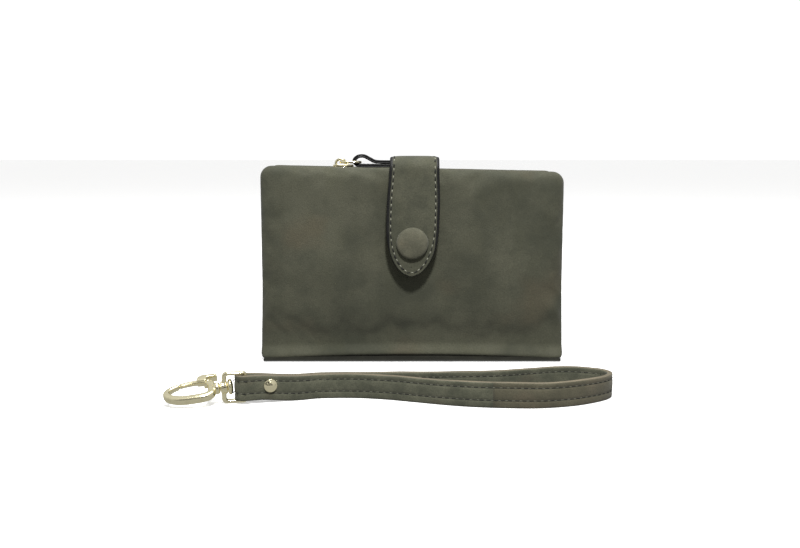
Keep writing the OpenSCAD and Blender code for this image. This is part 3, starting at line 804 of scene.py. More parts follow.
def bottom_fold():
    """The leather that joins the covers under the wallet: a floor with an upturned lip behind
    the foot of each cover, and an edge that stands out in front. The front lip is bowed up."""
    half = WALLET_HALF_W - 1.0
    outer = [(-12.6, 6.0), (-13.1, 5.0), (-13.3, 3.6), (-13.6, 2.2), (-14.6, 1.5), (-16.8, 1.15),
             (-18.9, 0.95), (-19.4, 0.6), (-19.2, 0.12), (-14.0, 0.0), (-6.0, 0.0), (0.0, 0.0),
             (6.0, 0.0), (11.0, 0.0), (13.0, 0.25), (14.2, 1.0), (14.9, 2.2), (15.05, 3.6),
             (14.8, 5.2), (14.2, 6.2), (13.4, 6.5)]
    inner = [(13.0, 5.8), (13.5, 4.8), (13.7, 3.6), (13.5, 2.6), (12.9, 1.8), (11.6, 1.3), (6.0, 1.19),
             (0.0, 1.19), (-6.0, 1.19), (-11.2, 1.2), (-12.2, 1.5), (-12.5, 2.4), (-12.4, 3.8),
             (-12.3, 5.2)]
    section = outer + inner
    rings = []
    stations = [-half - 0.25, -half - 0.1, -half + 0.5]
    stations += list(np.linspace(-half + 2.5, half - 2.5, 58)) + [half - 0.5, half + 0.1, half + 0.25]
    for k, x in enumerate(stations):
        end = {0: 0.35, 1: 0.1}.get(min(k, len(stations) - 1 - k), 0)
        ring = []
        for y, z in section:
            y -= math.copysign(end, y) if abs(y) > 10 else 0
            share = smooth_step((-6 - y) / 11) * smooth_step(z / 3)
            puff = wobble(x, 0, 17, 0.25, 9) * (1 if abs(y) > 12 else 0)
            ring.append((x, y + math.copysign(puff, y), z + 0.6 * bow(x) * share))
        rings.append(ring)
    # The fold's near-black colour is painted shade under the front cover's foot.
    obj = refine(loft("bottom_fold", rings, FOLD_SHADE_LEATHER))
    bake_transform(obj)
    return settle(obj, "base_leather", body="blended")


bottom_fold()


# ---------------------------------------------------------------- pockets and linings


def lining_panel(name, node, seed):
    low, high = span(node)
    face, back = (high.y, low.y) if node.startswith("front") else (low.y, high.y)
    obj = panel(name, (low.x + 0.1, LINING_LOW_Z), (high.x - 0.1, high.z - 0.1), face, back,
                LINING, (3.6, 2.0), 0.1, 5.0, seed)
    return settle(fall(obj), node)


lining_panel("front_lining_cloth", "front_cover_lining", 3)
lining_panel("back_lining_cloth", "back_cover_lining", 4)

CARD_STEPS = 4
CARD_STEP_H = 10.0


def row(start, end, out, pitch=2.6):
    """Stitches along a straight line."""
    return [(p, along, out) for p, along in spaced([start, end], pitch, pitch / 2)]


def card_pockets(node, towards, seed):
    """Stepped pockets, each with a hemmed top edge sewn along its length."""
    low, high = span(node)
    thick = (high.y - low.y) / CARD_STEPS
    base = low.y if towards > 0 else high.y
    made, sewn = [], []
    for i in range(CARD_STEPS):
        top = high.z - i * CARD_STEP_H
        y0 = base + towards * thick * i
        y1 = y0 + towards * thick
        side = 0.3 * i
        made.append(panel(f"{node}_{i + 1}", (low.x + side, low.z), (high.x - side, top), y1, y0,
                          POCKET_LEATHER, (2.5, 1.0), 0.08, 6.0, seed + i))
        out = (0, towards, 0)
        y = y1 + towards * 0.02
        sewn += row((low.x + 3, y, top - 2), (high.x - 3, y, top - 2), out)
    out = (0, towards, 0)
    y = base + towards * thick * CARD_STEPS
    for x in (low.x + 1.6, high.x - 1.6):
        sewn += row((x, y + towards * 0.02, low.z + 2), (x, y + towards * 0.02, high.z - 34), out)
    for obj in made:
        settle(obj, node)
    thread_rows = seam(f"{node}_stitching", sewn)
    settle(thread_rows, body=BODY_OF[node])


card_pockets("front_card_pockets", 1, 11)
card_pockets("back_card_pockets", -1, 21)

low, high = span("front_slip_pocket")
slip = panel("front_slip_pocket_panel", (low.x, low.z), (high.x, high.z), high.y, low.y,
             POCKET_LEATHER, (2.5, 1.0), 0.08, 6.0, 31)
settle(slip, "front_slip_pocket")
slip_sewn = row((low.x + 2, high.y + 0.02, high.z - 2), (high.x - 2, high.y + 0.02, high.z - 2), (0, 1, 0))
settle(seam("slip_pocket_stitching", slip_sewn), body="front_half")

beveled("id_window_frame", "id_window_border", 0.15, POCKET_LEATHER)
beveled("base_lining", "fold_lining_cloth", 0.2, LINING)


# ---------------------------------------------------------------- coin pocket and zip


def coin_wall(node, towards, seed):
    low, high = span(node)
    face, back = (low.y, high.y) if towards < 0 else (high.y, low.y)
    obj = panel(f"{node}_cloth", (low.x, low.z), (high.x, high.z), face, back, LINING,
                (1.2, 2.0), 0.15, 5.0, seed)
    settle(zip_fall(obj), node)
    out = (0, towards, 0)
    y = face + towards * 0.01
    sewn = row((low.x + 2, y, high.z - 2.4), (high.x - 2, y, high.z - 2.4), out)
    sewn += row((low.x + 2, y, high.z - 4.6), (high.x - 2, y, high.z - 4.6), out)
    settle(zip_fall(seam(f"{node}_stitching", sewn)), body="coin_leaf")


coin_wall("coin_pocket_front_wall", -1, 41)
coin_wall("coin_pocket_back_wall", 1, 42)
beveled("coin_pocket_floor", "coin_pocket_floor_cloth", 0.3, LINING)


def gusset(node, side):
    """A side of the coin pocket, pleated inwards so that it can open."""
    low, high = span(node)
    outer = low.x if side < 0 else high.x
    thick = high.x - low.x
    y0, y1 = low.y, high.y
    stops = [(0, 0), (0.12, 0.6), (0.3, 1.4), (0.42, 3.2), (0.5, 4.4), (0.58, 3.2), (0.7, 1.4),
             (0.88, 0.6), (1, 0)]
    rings = []
    for z in np.linspace(low.z, high.z, 20):
        rise = (z - low.z) / (high.z - low.z)
        fold = 0.25 + 0.75 * rise
        line = [(outer - side * (0.1 + d * fold), y0 + (y1 - y0) * t) for t, d in stops]
        front = [(x, y, z - 0.4 * d * rise) for (x, y), (_, d) in zip(line, stops)]
        back = [(x - side * thick * 0.75, y, z - 0.4 * d * rise) for (x, y), (_, d) in zip(line, stops)]
        rings.append(front + back[::-1])
    obj = refine(loft(f"{node}_pleat", rings, LINING))
    settle(obj, node)


gusset("coin_pocket_left_gusset", -1)
gusset("coin_pocket_right_gusset", 1)


SLIDER_LOW, SLIDER_HIGH = span("zip_slider")
SLIDER_X = (SLIDER_LOW.x + SLIDER_HIGH.x) / 2
ZIP_Y = (span("coin_pocket_front_wall")[0].y + span("coin_pocket_back_wall")[1].y) / 2
OPEN_SHIFT = 2.8
CLOSED_X, OPENED_X = SLIDER_X + 0.5, SLIDER_X - 3.5


def zip_gap(x):
    """How far a row of teeth stands aside at x."""
    return OPEN_SHIFT * smooth_step((CLOSED_X - x) / (CLOSED_X - OPENED_X))


def zip_tape(node, side):
    """A woven tape with a corded edge that follows the row of teeth."""
    low, high = span(node)
    wall = low.y if side < 0 else high.y
    mid, half = (low.z + high.z) / 2, (high.z - low.z) / 2
    rings = []
    for x in np.linspace(low.x, high.x, 70):
        edge = ZIP_Y + side * (0.8 + zip_gap(x))
        ring = []
        for t, top in ((0, 0.7), (0.08, 0.95), (0.5, 0.8), (0.8, 0.8), (0.9, 1.0), (0.97, 0.95), (1, 0.5)):
            ring.append((x, wall + (edge - wall) * t, mid + half * top))
        for t, top in ((1, 0.5), (0.97, 0.95), (0.9, 1.0), (0.8, 0.8), (0.5, 0.8), (0.08, 0.95), (0, 0.7)):
            ring.append((x, wall + (edge - wall) * t, mid - half * top))
        rings.append(ring)
    obj = refine(loft(f"{node}_weave", rings, ZIP_TAPE))
    settle(zip_fall(obj), node)
    sewn = [((x, wall - side * 1.3, high.z + 0.02), (1, 0, 0), (0, 0, 1))
            for x in np.arange(low.x + 2, high.x - 2, 2.6)]
    settle(zip_fall(seam(f"{node}_stitching", sewn, DARK_THREAD_AND_HOLE_SHADE)), body="coin_leaf")


zip_tape("zip_tape_front", -1)
zip_tape("zip_tape_back", 1)


def zip_teeth(node, side):
    """Each tooth is a clamped leg with a raised nose, set on the tape's cord."""
    low, high = span(node)
    pitch = 2.4
    length = 1.8
    count = int(round((high.x - low.x - 1) / pitch)) + 1
    z0, z1 = low.z, high.z
    section = [(-0.5, 0.12), (-0.5, 0.88), (-0.38, 1.0), (0.38, 1.0), (0.5, 0.88), (0.5, 0.12),
               (0.38, 0), (-0.38, 0)]
    n = len(section)
    verts, faces = [], []
    for i in range(count):
        x = low.x + 0.5 + i * pitch
        nose = ZIP_Y - side * (0.7 - zip_gap(x))
        tail = nose + side * length
        rows = [(nose, 0.55, 0.25), (nose + side * 0.12, 0.9, 0.05), (nose + side * 0.75, 1.0, 0.0),
                (nose + side * 1.1, 0.8, 0.14), (tail - side * 0.15, 0.98, 0.0), (tail, 0.75, 0.14)]
        start = len(verts)
        for y, wide, drop in rows:
            for sx, sz in section:
                h = (z1 - z0) * (1 - 2 * drop)
                verts.append((x + sx * wide, y, z0 + (z1 - z0) * drop + sz * h))
        for r in range(len(rows) - 1):
            for k in range(n):
                j = (k + 1) % n
                a = start + r * n
                faces.append((a + k, a + j, a + n + j, a + n + k))
        faces.append(tuple(start + k for k in range(n)))
        faces.append(tuple(start + (len(rows) - 1) * n + k for k in range(n)))
    settle(zip_fall(crisp(piece(f"{node}_row", verts, faces, GOLD), 55)), node)


zip_teeth("zip_teeth_front", -1)
zip_teeth("zip_teeth_back", 1)
zip_fall(beveled("zip_end_stops", "zip_stops_clamped", 0.3, GOLD))


def zip_slider():
    """Two shaped plates with turned flanges, joined at the front, and an arched bridge."""
    low, high = SLIDER_LOW, SLIDER_HIGH
    x0, x1, half = low.x, high.x, (high.y - low.y) / 2
    plate_t, bridge_h, flange_h = 1.2, 2.9, 0.9
    top_z = high.z - bridge_h
    outline = rounded([(x0, -half * 0.92), (x0 + 2.2, -half), (x1 - 3.2, -half), (x1, -half * 0.62),
                       (x1, half * 0.62), (x1 - 3.2, half), (x0 + 2.2, half), (x0, half * 0.92)], 1.2)
    at = Matrix.Translation((0, ZIP_Y, 0))
    parts = [plate("zip_slider_top", outline, top_z - plate_t, top_z, 0.35, GOLD, at),
             plate("zip_slider_bottom", outline, low.z, low.z + plate_t, 0.35, GOLD, at)]
    for s in (-1, 1):
        for z in (top_z - plate_t - flange_h + 0.2, low.z + plate_t - 0.2):
            flange = rounded([(x0 + 0.6, s * (half - 0.6)), (x1 - 3, s * (half - 0.6)),
                              (x1 - 3, s * half * 0.99), (x0 + 0.6, s * half * 0.99)], 0.25)
            parts.append(plate("zip_slider_flange", flange, z, z + flange_h, 0.12, GOLD, at))
    wedge = rounded([(x0 + 0.2, -0.9), (x0 + 2.2, -0.3), (x0 + 2.2, 0.3), (x0 + 0.2, 0.9)], 0.2)
    parts.append(plate("zip_slider_wedge", wedge, low.z + plate_t - 0.2, top_z - plate_t + 0.2, 0.05,
                       GOLD, at))
    pivot = SLIDER_X - 1.4
    arch = [(pivot - 2.35, top_z - 0.3), (pivot - 2.3, top_z + 1.2), (pivot - 1.4, top_z + 2.2),
            (pivot, top_z + 2.5), (pivot + 1.4, top_z + 2.2), (pivot + 2.3, top_z + 1.2),
            (pivot + 2.35, top_z - 0.3)]
    fine = smooth_path(arch, 5)
    turn = Matrix.Translation((0, ZIP_Y, 0)) @ Matrix.Rotation(math.pi / 2, 4, "X")
    widths = [(1.2, 3.4 - 0.5 * math.sin(math.pi * i / (len(fine) - 1))) for i in range(len(fine))]
    parts.append(sweep("zip_slider_bridge", fine, widths, GOLD, turn, power=3))
    for obj in parts[1:]:
        settle(obj, body="slider")
    return settle(parts[0], "zip_slider")


def curve_point(a, b, c, d, t):
    """A place on the smooth curve from b to c, where t runs from 0 to 1."""
    a, b, c, d = (np.array(p, float) for p in (a, b, c, d))
    return 0.5 * (2 * b + (c - a) * t + (2 * a - 5 * b + 4 * c - d) * t * t
                  + (3 * b - a - 3 * c + d) * t ** 3)


def smooth_path(points, steps, closed=False):
    """A smooth curve through a list of points."""
    n = len(points)
    out = []
    for i in range(n if closed else n - 1):
        if closed:
            four = [points[(i + k) % n] for k in (-1, 0, 1, 2)]
        else:
            four = [points[min(max(i + k, 0), n - 1)] for k in (-1, 0, 1, 2)]
        out += [curve_point(*four, s / steps) for s in range(steps)]
    if not closed:
        out.append(np.array(points[-1], float))
    return out


zip_slider()


def pull():
    """A wire ring on the slider's bridge and a folded two-ply leather strip."""
    low, high = span("zip_pull_ring")
    wire = (high.z - low.z)
    bend = (high.y - low.y - wire) / 2
    x0, x1 = low.x + wire / 2 + bend, high.x - wire / 2 - bend
    z = (low.z + high.z) / 2
    path = []
    for x, first, last in ((x0, math.pi / 2, 1.5 * math.pi), (x1, -math.pi / 2, math.pi / 2)):
        path += [(x + bend * math.cos(a), bend * math.sin(a)) for a in np.linspace(first, last, 17)]
    at = Matrix.Translation((0, ZIP_Y, z))
    ring = sweep("zip_pull_wire", path, [(wire, wire)] * len(path), GOLD, at, closed=True,
                 sides=14, power=2)
    settle(ring, "zip_pull_ring")
    low, high = span("zip_pull_strip")
    width = high.y - low.y
    line = smooth_path([(-10.7, 95.3), (-17.5, 95.5), (-20.5, 96.8), (-23.4, 98.2), (-26.2, 98.05),
                        (-28.0, 96.6), (-28.0, 95.1), (-26.6, 93.8), (-23.5, 93.5), (-19.0, 93.5),
                        (-10.7, 93.5)], 6)
    for ply, inner, outer in (("outer", 0.02, 0.88), ("inner", -0.84, -0.02)):
        rings = []
        for i, p in enumerate(line):
            t = line[min(i + 1, len(line) - 1)] - line[max(i - 1, 0)]
            t /= np.linalg.norm(t)
            n = np.array([t[1], -t[0]]) * -1
            half = width / 2
            ring = []
            for y, d in ((-half, 0.3), (-half + 0.2, 0.0), (half - 0.2, 0.0), (half, 0.3)):
                q = p + n * (outer - d * (outer - inner) * 0.8)
                ring.append((q[0], ZIP_Y + y, q[1]))
            for y, d in ((half, 0.3), (half - 0.2, 0.0), (-half + 0.2, 0.0), (-half, 0.3)):
                q = p + n * (inner + d * (outer - inner) * 0.8)
                ring.append((q[0], ZIP_Y + y, q[1]))
            rings.append(ring)
        obj = crisp(loft(f"zip_pull_{ply}_ply", rings, EDGE_PAINT), 50)
        if ply == "outer":
            settle(obj, "zip_pull_strip")
        else:
            settle(obj, body="pull")
    sewn = []
    for i in range(3, len(line) - 3, 3):
        t = line[i + 1] - line[i - 1]
        t /= np.linalg.norm(t)
        n = np.array([-t[1], t[0]])
        q = line[i] + n * 0.89
        for y in (-width / 2 + 0.8, width / 2 - 0.8):
            sewn.append(((q[0], ZIP_Y + y, q[1]), (t[0], 0, t[1]), (n[0], 0, n[1])))
    settle(stitches("zip_pull_stitching", sewn, DARK_THREAD_AND_HOLE_SHADE, 0.14, 1.2), body="pull")


pull()


# ---------------------------------------------------------------- snap tab


TAB_HALF_W = (span("tab_flap_leather")[1].x - span("tab_flap_leather")[0].x) / 2
TAB_TIP_Z = span("tab_flap_leather")[0].z
FLAP_IN_Y = span("tab_flap_lining")[1].y
TAB_UNDER_Z = span("tab_bridge_lining")[0].z
ANCHOR_LOW_Z = span("tab_anchor")[0].z
# RIM: the black that shows beside the olive leather on each side. It is partly the tab's black painted edge
# and partly painted shade, as it also takes in the shade along the tab's edges.
RIM = 1.25
TAB_POINT_L = 24.0
TAB_POINT_SHAPE = 2.0
TAB_POINT_BLUNT = 0.5
TAB_TAPER = 0.9
TAB_LEAN = 0.029
TIP_RIM = 0.3
BACK_CORNER_R = 3.0
STITCH_PITCH = 3.3
STITCH_INSET = 2.05
STITCH_LIFT = 2.25


def tab_line():
    """The inner side of the tab in (y, z): up the back, over the top and down the front."""
    back_r, front_r = 3.6, 4.0
    y_back, y_front = BACK_Y + 0.05, FLAP_IN_Y
    line = [np.array((y_back, z)) for z in np.linspace(ANCHOR_LOW_Z, TAB_UNDER_Z - back_r, 30)]
    centre = np.array((y_back - back_r, TAB_UNDER_Z - back_r))
    line += [centre + back_r * np.array((math.cos(a), math.sin(a)))
             for a in np.linspace(0.1, math.pi / 2, 10)]
    line += [np.array((y, TAB_UNDER_Z))
             for y in np.linspace(y_back - back_r - 1, y_front + front_r + 1, 19)]
    centre = np.array((y_front + front_r, TAB_UNDER_Z - front_r))
    line += [centre + front_r * np.array((math.cos(a), math.sin(a)))
             for a in np.linspace(math.pi / 2, math.pi - 0.1, 11)]
    hang = TAB_UNDER_Z - front_r
    line += [np.array((y_front, hang - (hang - TAB_TIP_Z) * t)) for t in np.linspace(0, 1, 60) ** 0.8]
    return line


TAB_LINE = tab_line()
TAB_S = np.concatenate([[0], np.cumsum([np.linalg.norm(b - a) for a, b in zip(TAB_LINE, TAB_LINE[1:])])])
TAB_END = TAB_S[-1]
MID_S = float(np.interp(0.0, [-TAB_LINE[i][0] for i in range(30, 60)], [TAB_S[i] for i in range(30, 60)]))


def tip_curve(inset):
    """(distance from the tip, half width) along the pointed end, moved inwards."""
    u = np.linspace(0, 1, 60) ** 2
    points = [(TAB_POINT_L * t, TAB_HALF_W * (1 - (1 - t) ** TAB_POINT_SHAPE) ** TAB_POINT_BLUNT)
              for t in u]
    points += [(TAB_POINT_L + 5, TAB_HALF_W), (TAB_POINT_L + 9, TAB_HALF_W)]
    line = np.array(points)
    along = np.gradient(line, axis=0)
    inward = np.stack([along[:, 1], -along[:, 0]], 1)
    inward /= np.linalg.norm(inward, axis=1)[:, None]
    moved = line + inward * inset
    moved[0] = (inset, 0)
    keep = [moved[0]]
    for p in moved[1:]:
        if p[0] > keep[-1][0] and p[1] > keep[-1][1] - 1e-6:
            keep.append(p)
    return np.array(keep)


def taper(tip):
    """How much narrower each side of the tab is at this distance from its tip."""
    return TAB_TAPER * smooth_step((tip - 32) / 22)


def half_width(s, inset, curve):
    """The tab's half width at s along it, with square but softened back corners."""
    tip = TAB_END - s
    w = float(np.interp(tip, curve[:, 0], curve[:, 1])) if tip > curve[0, 0] else 0.0
    w -= taper(tip)
    r = BACK_CORNER_R
    if s < r + inset:
        w -= r - math.sqrt(max(0, r * r - (r + inset - s) ** 2)) if s >= inset else w
    return max(w, 0.0)


def tab_frame(s):
    """(inner point, direction, outward normal) at s along the tab, in (y, z)."""
    y = np.interp(s, TAB_S, [p[0] for p in TAB_LINE])
    z = np.interp(s, TAB_S, [p[1] for p in TAB_LINE])
    reach = 0.8
    ahead = [np.interp(min(s + reach, TAB_END), TAB_S, [p[k] for p in TAB_LINE]) for k in (0, 1)]
    behind = [np.interp(max(s - reach, 0), TAB_S, [p[k] for p in TAB_LINE]) for k in (0, 1)]
    t = np.array(ahead) - np.array(behind)
    t /= np.linalg.norm(t)
    return np.array((y, z)), t, np.array((t[1], -t[0]))


def on_tab(s, x, lift):
    """(place, direction, outward normal) at s along the tab and x across it, raised by lift."""
    p, t, n = tab_frame(s)
    q = p + n * lift
    x += TAB_LEAN * (p[1] - BUTTON_Z) if s > MID_S else TAB_LEAN * (TAB_UNDER_Z - BUTTON_Z)
    return (x, q[0], q[1]), (0, t[0], t[1]), (0, n[0], n[1])


def tab_layer(name, first, last, inset, rim, material):
    """One layer of the tab between two places along it. rim lists (in from the edge, height)
    over the outer side from the edge inwards, then the same underneath."""
    curve = tip_curve(inset)
    start, end = max(first, inset), min(last, TAB_END - inset)
    stations = sorted(set([round(float(s), 4) for s in TAB_S if start < s < end] + [start, end]))
    near_tip = [TAB_END - inset - d for d in (0.05, 0.2, 0.45, 0.8, 1.3, 2.0, 2.8, 3.6, 4.6, 5.8, 7.2)]
    stations = sorted(set(stations + [s for s in near_tip if start < s < end]))
    over, under = rim
    rings = []
    for s in stations:
        w = half_width(s, inset, curve)
        if inset:
            w -= (RIM - TIP_RIM) * smooth_step((TAB_END - s - 10) / 10)
        w = max(w, 0.02)
        k = min(1, w / 4)
        right = [(w - d * k, h) for d, h in over]
        left = [(-x, h) for x, h in reversed(right)]
        low_left = [(-(w - d * k), h) for d, h in under]
        low_right = [(-x, h) for x, h in reversed(low_left)]
        ring = []
        for x, h in right + left + low_left + low_right:
            q, _, _ = on_tab(s, x, h)
            ring.append(q)
        rings.append(ring)
    return crisp(loft(name, rings, material), 60)


BLACK_RIM = ([(0.0, 1.25), (0.08, 1.65), (0.35, 1.95), (0.8, 2.05)],
             [(0.8, 0.0), (0.3, 0.1), (0.05, 0.4), (0.0, 0.85)])
OLIVE_RIM = ([(0.0, 1.85), (0.06, 2.1), (0.3, 2.28), (0.75, 2.3), (1.05, 2.2), (1.45, 2.34), (3.0, 2.46),
              (7.0, 2.5)],
             [(2.0, 1.7), (0.5, 1.7)])


def tab():
    """The tab's layers and stitches, in a back half and a front half that meet on its top."""
    halves = (("back", 0.0, MID_S, "back_cover", "tab_bridge",
               (0, 0.0174, 0.0925), (0, 0.0122, 0.0975),
               ("tab_anchor",), ("tab_bridge_lining",)),
              ("front", MID_S, TAB_END, "tab_bridge", "tab_flap",
               (0, -0.0150, 0.0978), (0, -0.0218, 0.0915),
               ("tab_bridge_leather", "tab_flap_leather"), ("tab_flap_lining",)))
    curve = tip_curve(STITCH_INSET)
    tip_line = [(TAB_END - d, w) for d, w in curve[::-1]]
    straight = [(s, TAB_HALF_W - STITCH_INSET)
                for s in np.linspace(STITCH_INSET + 0.6, tip_line[0][0] - 1, 60)]
    right = [(s, x - taper(TAB_END - s)) for s, x in straight + tip_line]
    outline = right + [(s, -x) for s, x in reversed(right)] + [right[0]]
    sewn = []
    for p, along in spaced([(s, x, 0) for s, x in outline], STITCH_PITCH, 0.6):
        q, t, n = on_tab(p.x, p.y, STITCH_LIFT + 0.2 * smooth_step((14 - TAB_END + p.x) / 8))
        sewn.append((p.x, q, Vector(t) * along.x + Vector((1, 0, 0)) * along.y, n))
    cross = float(TAB_S[29]) - 4
    for x in np.arange(-TAB_HALF_W + 3.4 + TAB_TAPER, TAB_HALF_W - 3 - TAB_TAPER, STITCH_PITCH):
        q, t, n = on_tab(cross, x, 2.5)
        sewn.append((cross, q, (1, 0, 0), n))
    for name, first, last, a, b, start, end, leather_nodes, lining_nodes in halves:
        black = tab_layer(f"tab_{name}_lining", first, last, 0.0, BLACK_RIM, EDGE_PAINT)
        olive = tab_layer(f"tab_{name}_leather", first, last, TIP_RIM, OLIVE_RIM, TAB_LEATHER)
        runs = [(q, t, n) for s, q, t, n in sewn if first <= s < last]
        light = stitches(f"tab_{name}_stitching", runs, THREAD, 0.27, 1.2)
        # Dark capsules between the stitches: painted shade in the needle holes.
        hole_shade = []
        for q, t, n in runs:
            t = Vector(t).normalized()
            hole_shade.append((Vector(q) + t * (STITCH_PITCH / 2) + Vector(n) * 0.02, t, n))
        dark = stitches(f"tab_{name}_needle_hole_shade", hole_shade, DARK_THREAD_AND_HOLE_SHADE, 0.36, 1.75, 0.35)
        for obj in (black, olive, light, dark):
            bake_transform(obj)
        settle(olive, *leather_nodes, body="blended")
        settle(black, *lining_nodes, body="blended")


tab()


def snap_button():
    """The leather-covered button, with the leather drawn tight round its rim."""
    low, high = span("snap_button_cover")
    r = (high.x - low.x) / 2
    base = FLAP_IN_Y - 2.35
    at = Matrix.Translation((0, base, BUTTON_Z)) @ Matrix.Rotation(math.pi / 2, 4, "X")
    h = base - low.y
    profile = [(r - 0.9, -0.3), (r - 0.55, 0.05), (r - 0.2, 0.3), (r, 0.75), (r - 0.05, 1.25),
               (r - 0.35, 1.8), (r - 0.95, 2.2), (r - 1.7, 2.42), (r - 2.6, h - 0.48), (r - 3.9, h - 0.28),
               (r - 5.4, h - 0.1), (1.0, h), (0, h)]
    settle(lathe("snap_button_dome", profile, at, BUTTON_LEATHER, 56), "snap_button_cover")


snap_button()
for node, name, width in (("snap_stud", "snap_stud_turned", 0.25),
                          ("snap_socket", "snap_socket_turned", 0.25),
                          ("snap_button_core", "snap_core_turned", 0.2),
                          ("snap_stud_washer", "snap_washer_turned", 0.1)):
    beveled(node, name, width, GOLD)


# ---------------------------------------------------------------- wrist strap


RING_BAR = (-68.5, -93.4)
STRAP_ROUTE = [(-71, -92.9), (-70.7, -94.9), (-68.6, -95.9), (-64, -94.7), (-58, -92.8),
               (-46, -89.4), (-38, -86.6), (-24, -86.2), (-12, -88.4), (0, -92.6), (12, -97),
               (24, -100.2), (38, -101.9), (50, -101.9), (62, -99), (71, -94.4),
               (78, -88.8), (80.8, -83), (78.6, -77.8), (72.5, -74.9), (66, -73.6),
               (58, -74), (49, -77), (39, -80.6), (28, -82.3), (14, -82.8), (0, -83),
               (-12, -83.2), (-24, -83.8), (-38, -84.2), (-46, -87), (-58, -90.5),
               (-64, -91.1), (-68.6, -90.9)]
STRAP_W = 10.2
STRAP_PITCH = 2.8
SEAM_X = 31.2
ROW_LOW_Z, ROW_HIGH_Z = 3.0, 8.05
STRAP_CURVE = smooth_path(STRAP_ROUTE, 8, closed=True)


def strap_station(i):
    """(place, sideways towards the inside of the loop) at point i of the strap's curve."""
    n = len(STRAP_CURVE)
    t = STRAP_CURVE[(i + 1) % n] - STRAP_CURVE[(i - 1) % n]
    t /= np.linalg.norm(t)
    return STRAP_CURVE[i % n], np.array((-t[1], t[0]))


def strap_rise(x):
    """The strap's end stands a little higher, where it hangs in the ring."""
    return 1.25 * smooth_step((-47 - x) / 17)


def strap_sag(x, z):
    """Slight waves along the edges."""
    return wobble(x, z * 0.2, 19, 0.35, 51) * min(1, max(0, (x + 66) / 20)) * (z / STRAP_W)


def ribbon(name, first, last, section, material, edge_faces):
    """A ply of the strap between two points of its curve."""
    rings = []
    for i in range(first, last + 1):
        p, side = strap_station(i)
        ring = []
        for off, z in section:
            q = p + side * off
            ring.append((q[0], q[1], z + strap_rise(p[0]) + strap_sag(p[0], z)))
        rings.append(ring)
    count = len(section)
    slots = []
    for _ in range(len(rings) - 1):
        slots += [1 if k in edge_faces else 0 for k in range(count)]
    slots += [0, 0]
    return loft(name, rings, material, more=(CUT_EDGE,), face_slots=slots)


def ply_section(skin, groove, crown, rim):
    """Half of the strap's thickness in (outwards, height), with a groove along each row."""
    return [(0.0, rim), (skin * 0.12, rim - 0.12), (skin * 0.6, rim - 0.15), (skin * 0.88, rim),
            (skin, rim + 0.45), (skin + 0.02, ROW_LOW_Z - 1.0), (skin - 0.02, ROW_LOW_Z - 0.45),
            (skin - groove, ROW_LOW_Z), (skin, ROW_LOW_Z + 0.45), (skin + crown * 0.7, ROW_LOW_Z + 1.1),
            (skin + crown, 5.5), (skin + crown * 0.7, ROW_HIGH_Z - 1.1), (skin, ROW_HIGH_Z - 0.45),
            (skin - groove, ROW_HIGH_Z), (skin - 0.02, ROW_HIGH_Z + 0.45), (skin + 0.02, 9.2),
            (skin, 9.7 - rim * 0.3), (skin * 0.88, 10.1 - rim * 0.3), (skin * 0.6, 10.25 - rim * 0.3),
            (skin * 0.12, 10.2 - rim * 0.3), (0.0, 10.1 - rim * 0.3)]


OUTER_SECTION = [(-d, z) for d, z in ply_section(1.18, 0.2, 0.16, 0.15)]
INNER_SECTION = ply_section(1.0, 0.16, 0.08, 0.35)
EDGE_FACES = (1, 2, 17, 18)


def strap():
    n = len(STRAP_CURVE)
    near = [i for i in range(n) if abs(STRAP_CURVE[i][0] - SEAM_X) < 2.2 and STRAP_CURVE[i][1] < -90]
    seam = min(near, key=lambda i: abs(STRAP_CURVE[i][0] - SEAM_X))
    far = min(range(n // 2, n), key=lambda i: abs(STRAP_CURVE[i][0] - 6))
    right = ribbon("strap_outer_end", seam, far, OUTER_SECTION, STRAP_SMOOTH, EDGE_FACES)
    left = ribbon("strap_outer_run", far, n + seam, OUTER_SECTION, STRAP_LEATHER, EDGE_FACES)
    settle(left, "strap_outer_ply")
    settle(right, body="wrist_strap")
    inner = ribbon("strap_inner_run", far, n + far, INNER_SECTION, STRAP_LEATHER, EDGE_FACES)
    settle(inner, "strap_inner_ply")
    for name, off, out_sign in (("outer", -1.03, -1), ("inner", 0.88, 1)):
        light, dark = [], []
        for z in (ROW_LOW_Z, ROW_HIGH_Z):
            line = []
            for i in range(n + 1):
                p, side = strap_station(i)
                q = p + side * off
                line.append((q[0], q[1], z + strap_rise(p[0]) + strap_sag(p[0], z)))
            for q, along in spaced(line, STRAP_PITCH, 0.9 * z / ROW_HIGH_Z):
                if name == "inner" and abs(q.x - RING_BAR[0]) < 3.5:
                    continue
                out = Vector((-along.y, along.x, 0)) * out_sign
                light.append((q, along, out))
                # Dark capsules between the stitches: painted shade in the needle holes.
                dark.append((q + along * (STRAP_PITCH / 2) + out * 0.03, along, out))
        sewn = stitches(f"strap_{name}_stitching", light, STRAP_THREAD, 0.22, 1.1)
        settle(sewn, body="wrist_strap")
        hole_shade = stitches(f"strap_{name}_needle_hole_shade", dark, STRAP_HOLE_SHADE, 0.24, 1.75, 0.35)
        settle(hole_shade, body="wrist_strap")


strap()

RIVET_PLACE = Matrix.Translation((-58.5, -91.75, 7.0))
RIVET_TURN = Matrix.Rotation(math.radians(16), 4, "Z")
RIVET_AT = RIVET_PLACE @ RIVET_TURN @ Matrix.Rotation(math.pi / 2, 4, "X")
cap = lathe("rivet_dome", [(2.1, 2.3), (2.6, 2.45), (2.72, 2.7), (2.66, 2.92), (2.42, 3.06),
                           (2.2, 3.1), (2.0, 3.2), (1.6, 3.52), (1.1, 3.76), (0.5, 3.9), (0, 3.93)],
            RIVET_AT, GOLD)
settle(cap, "rivet_cap")
shank = lathe("rivet_shank", [(0, -3.05), (2.1, -3.02), (2.6, -2.9), (2.7, -2.65), (2.5, -2.45),
                              (1.2, -2.4), (1.2, 2.4), (0, 2.45)], RIVET_AT, GOLD)
settle(shank, "rivet_post")


# ---------------------------------------------------------------- clasp


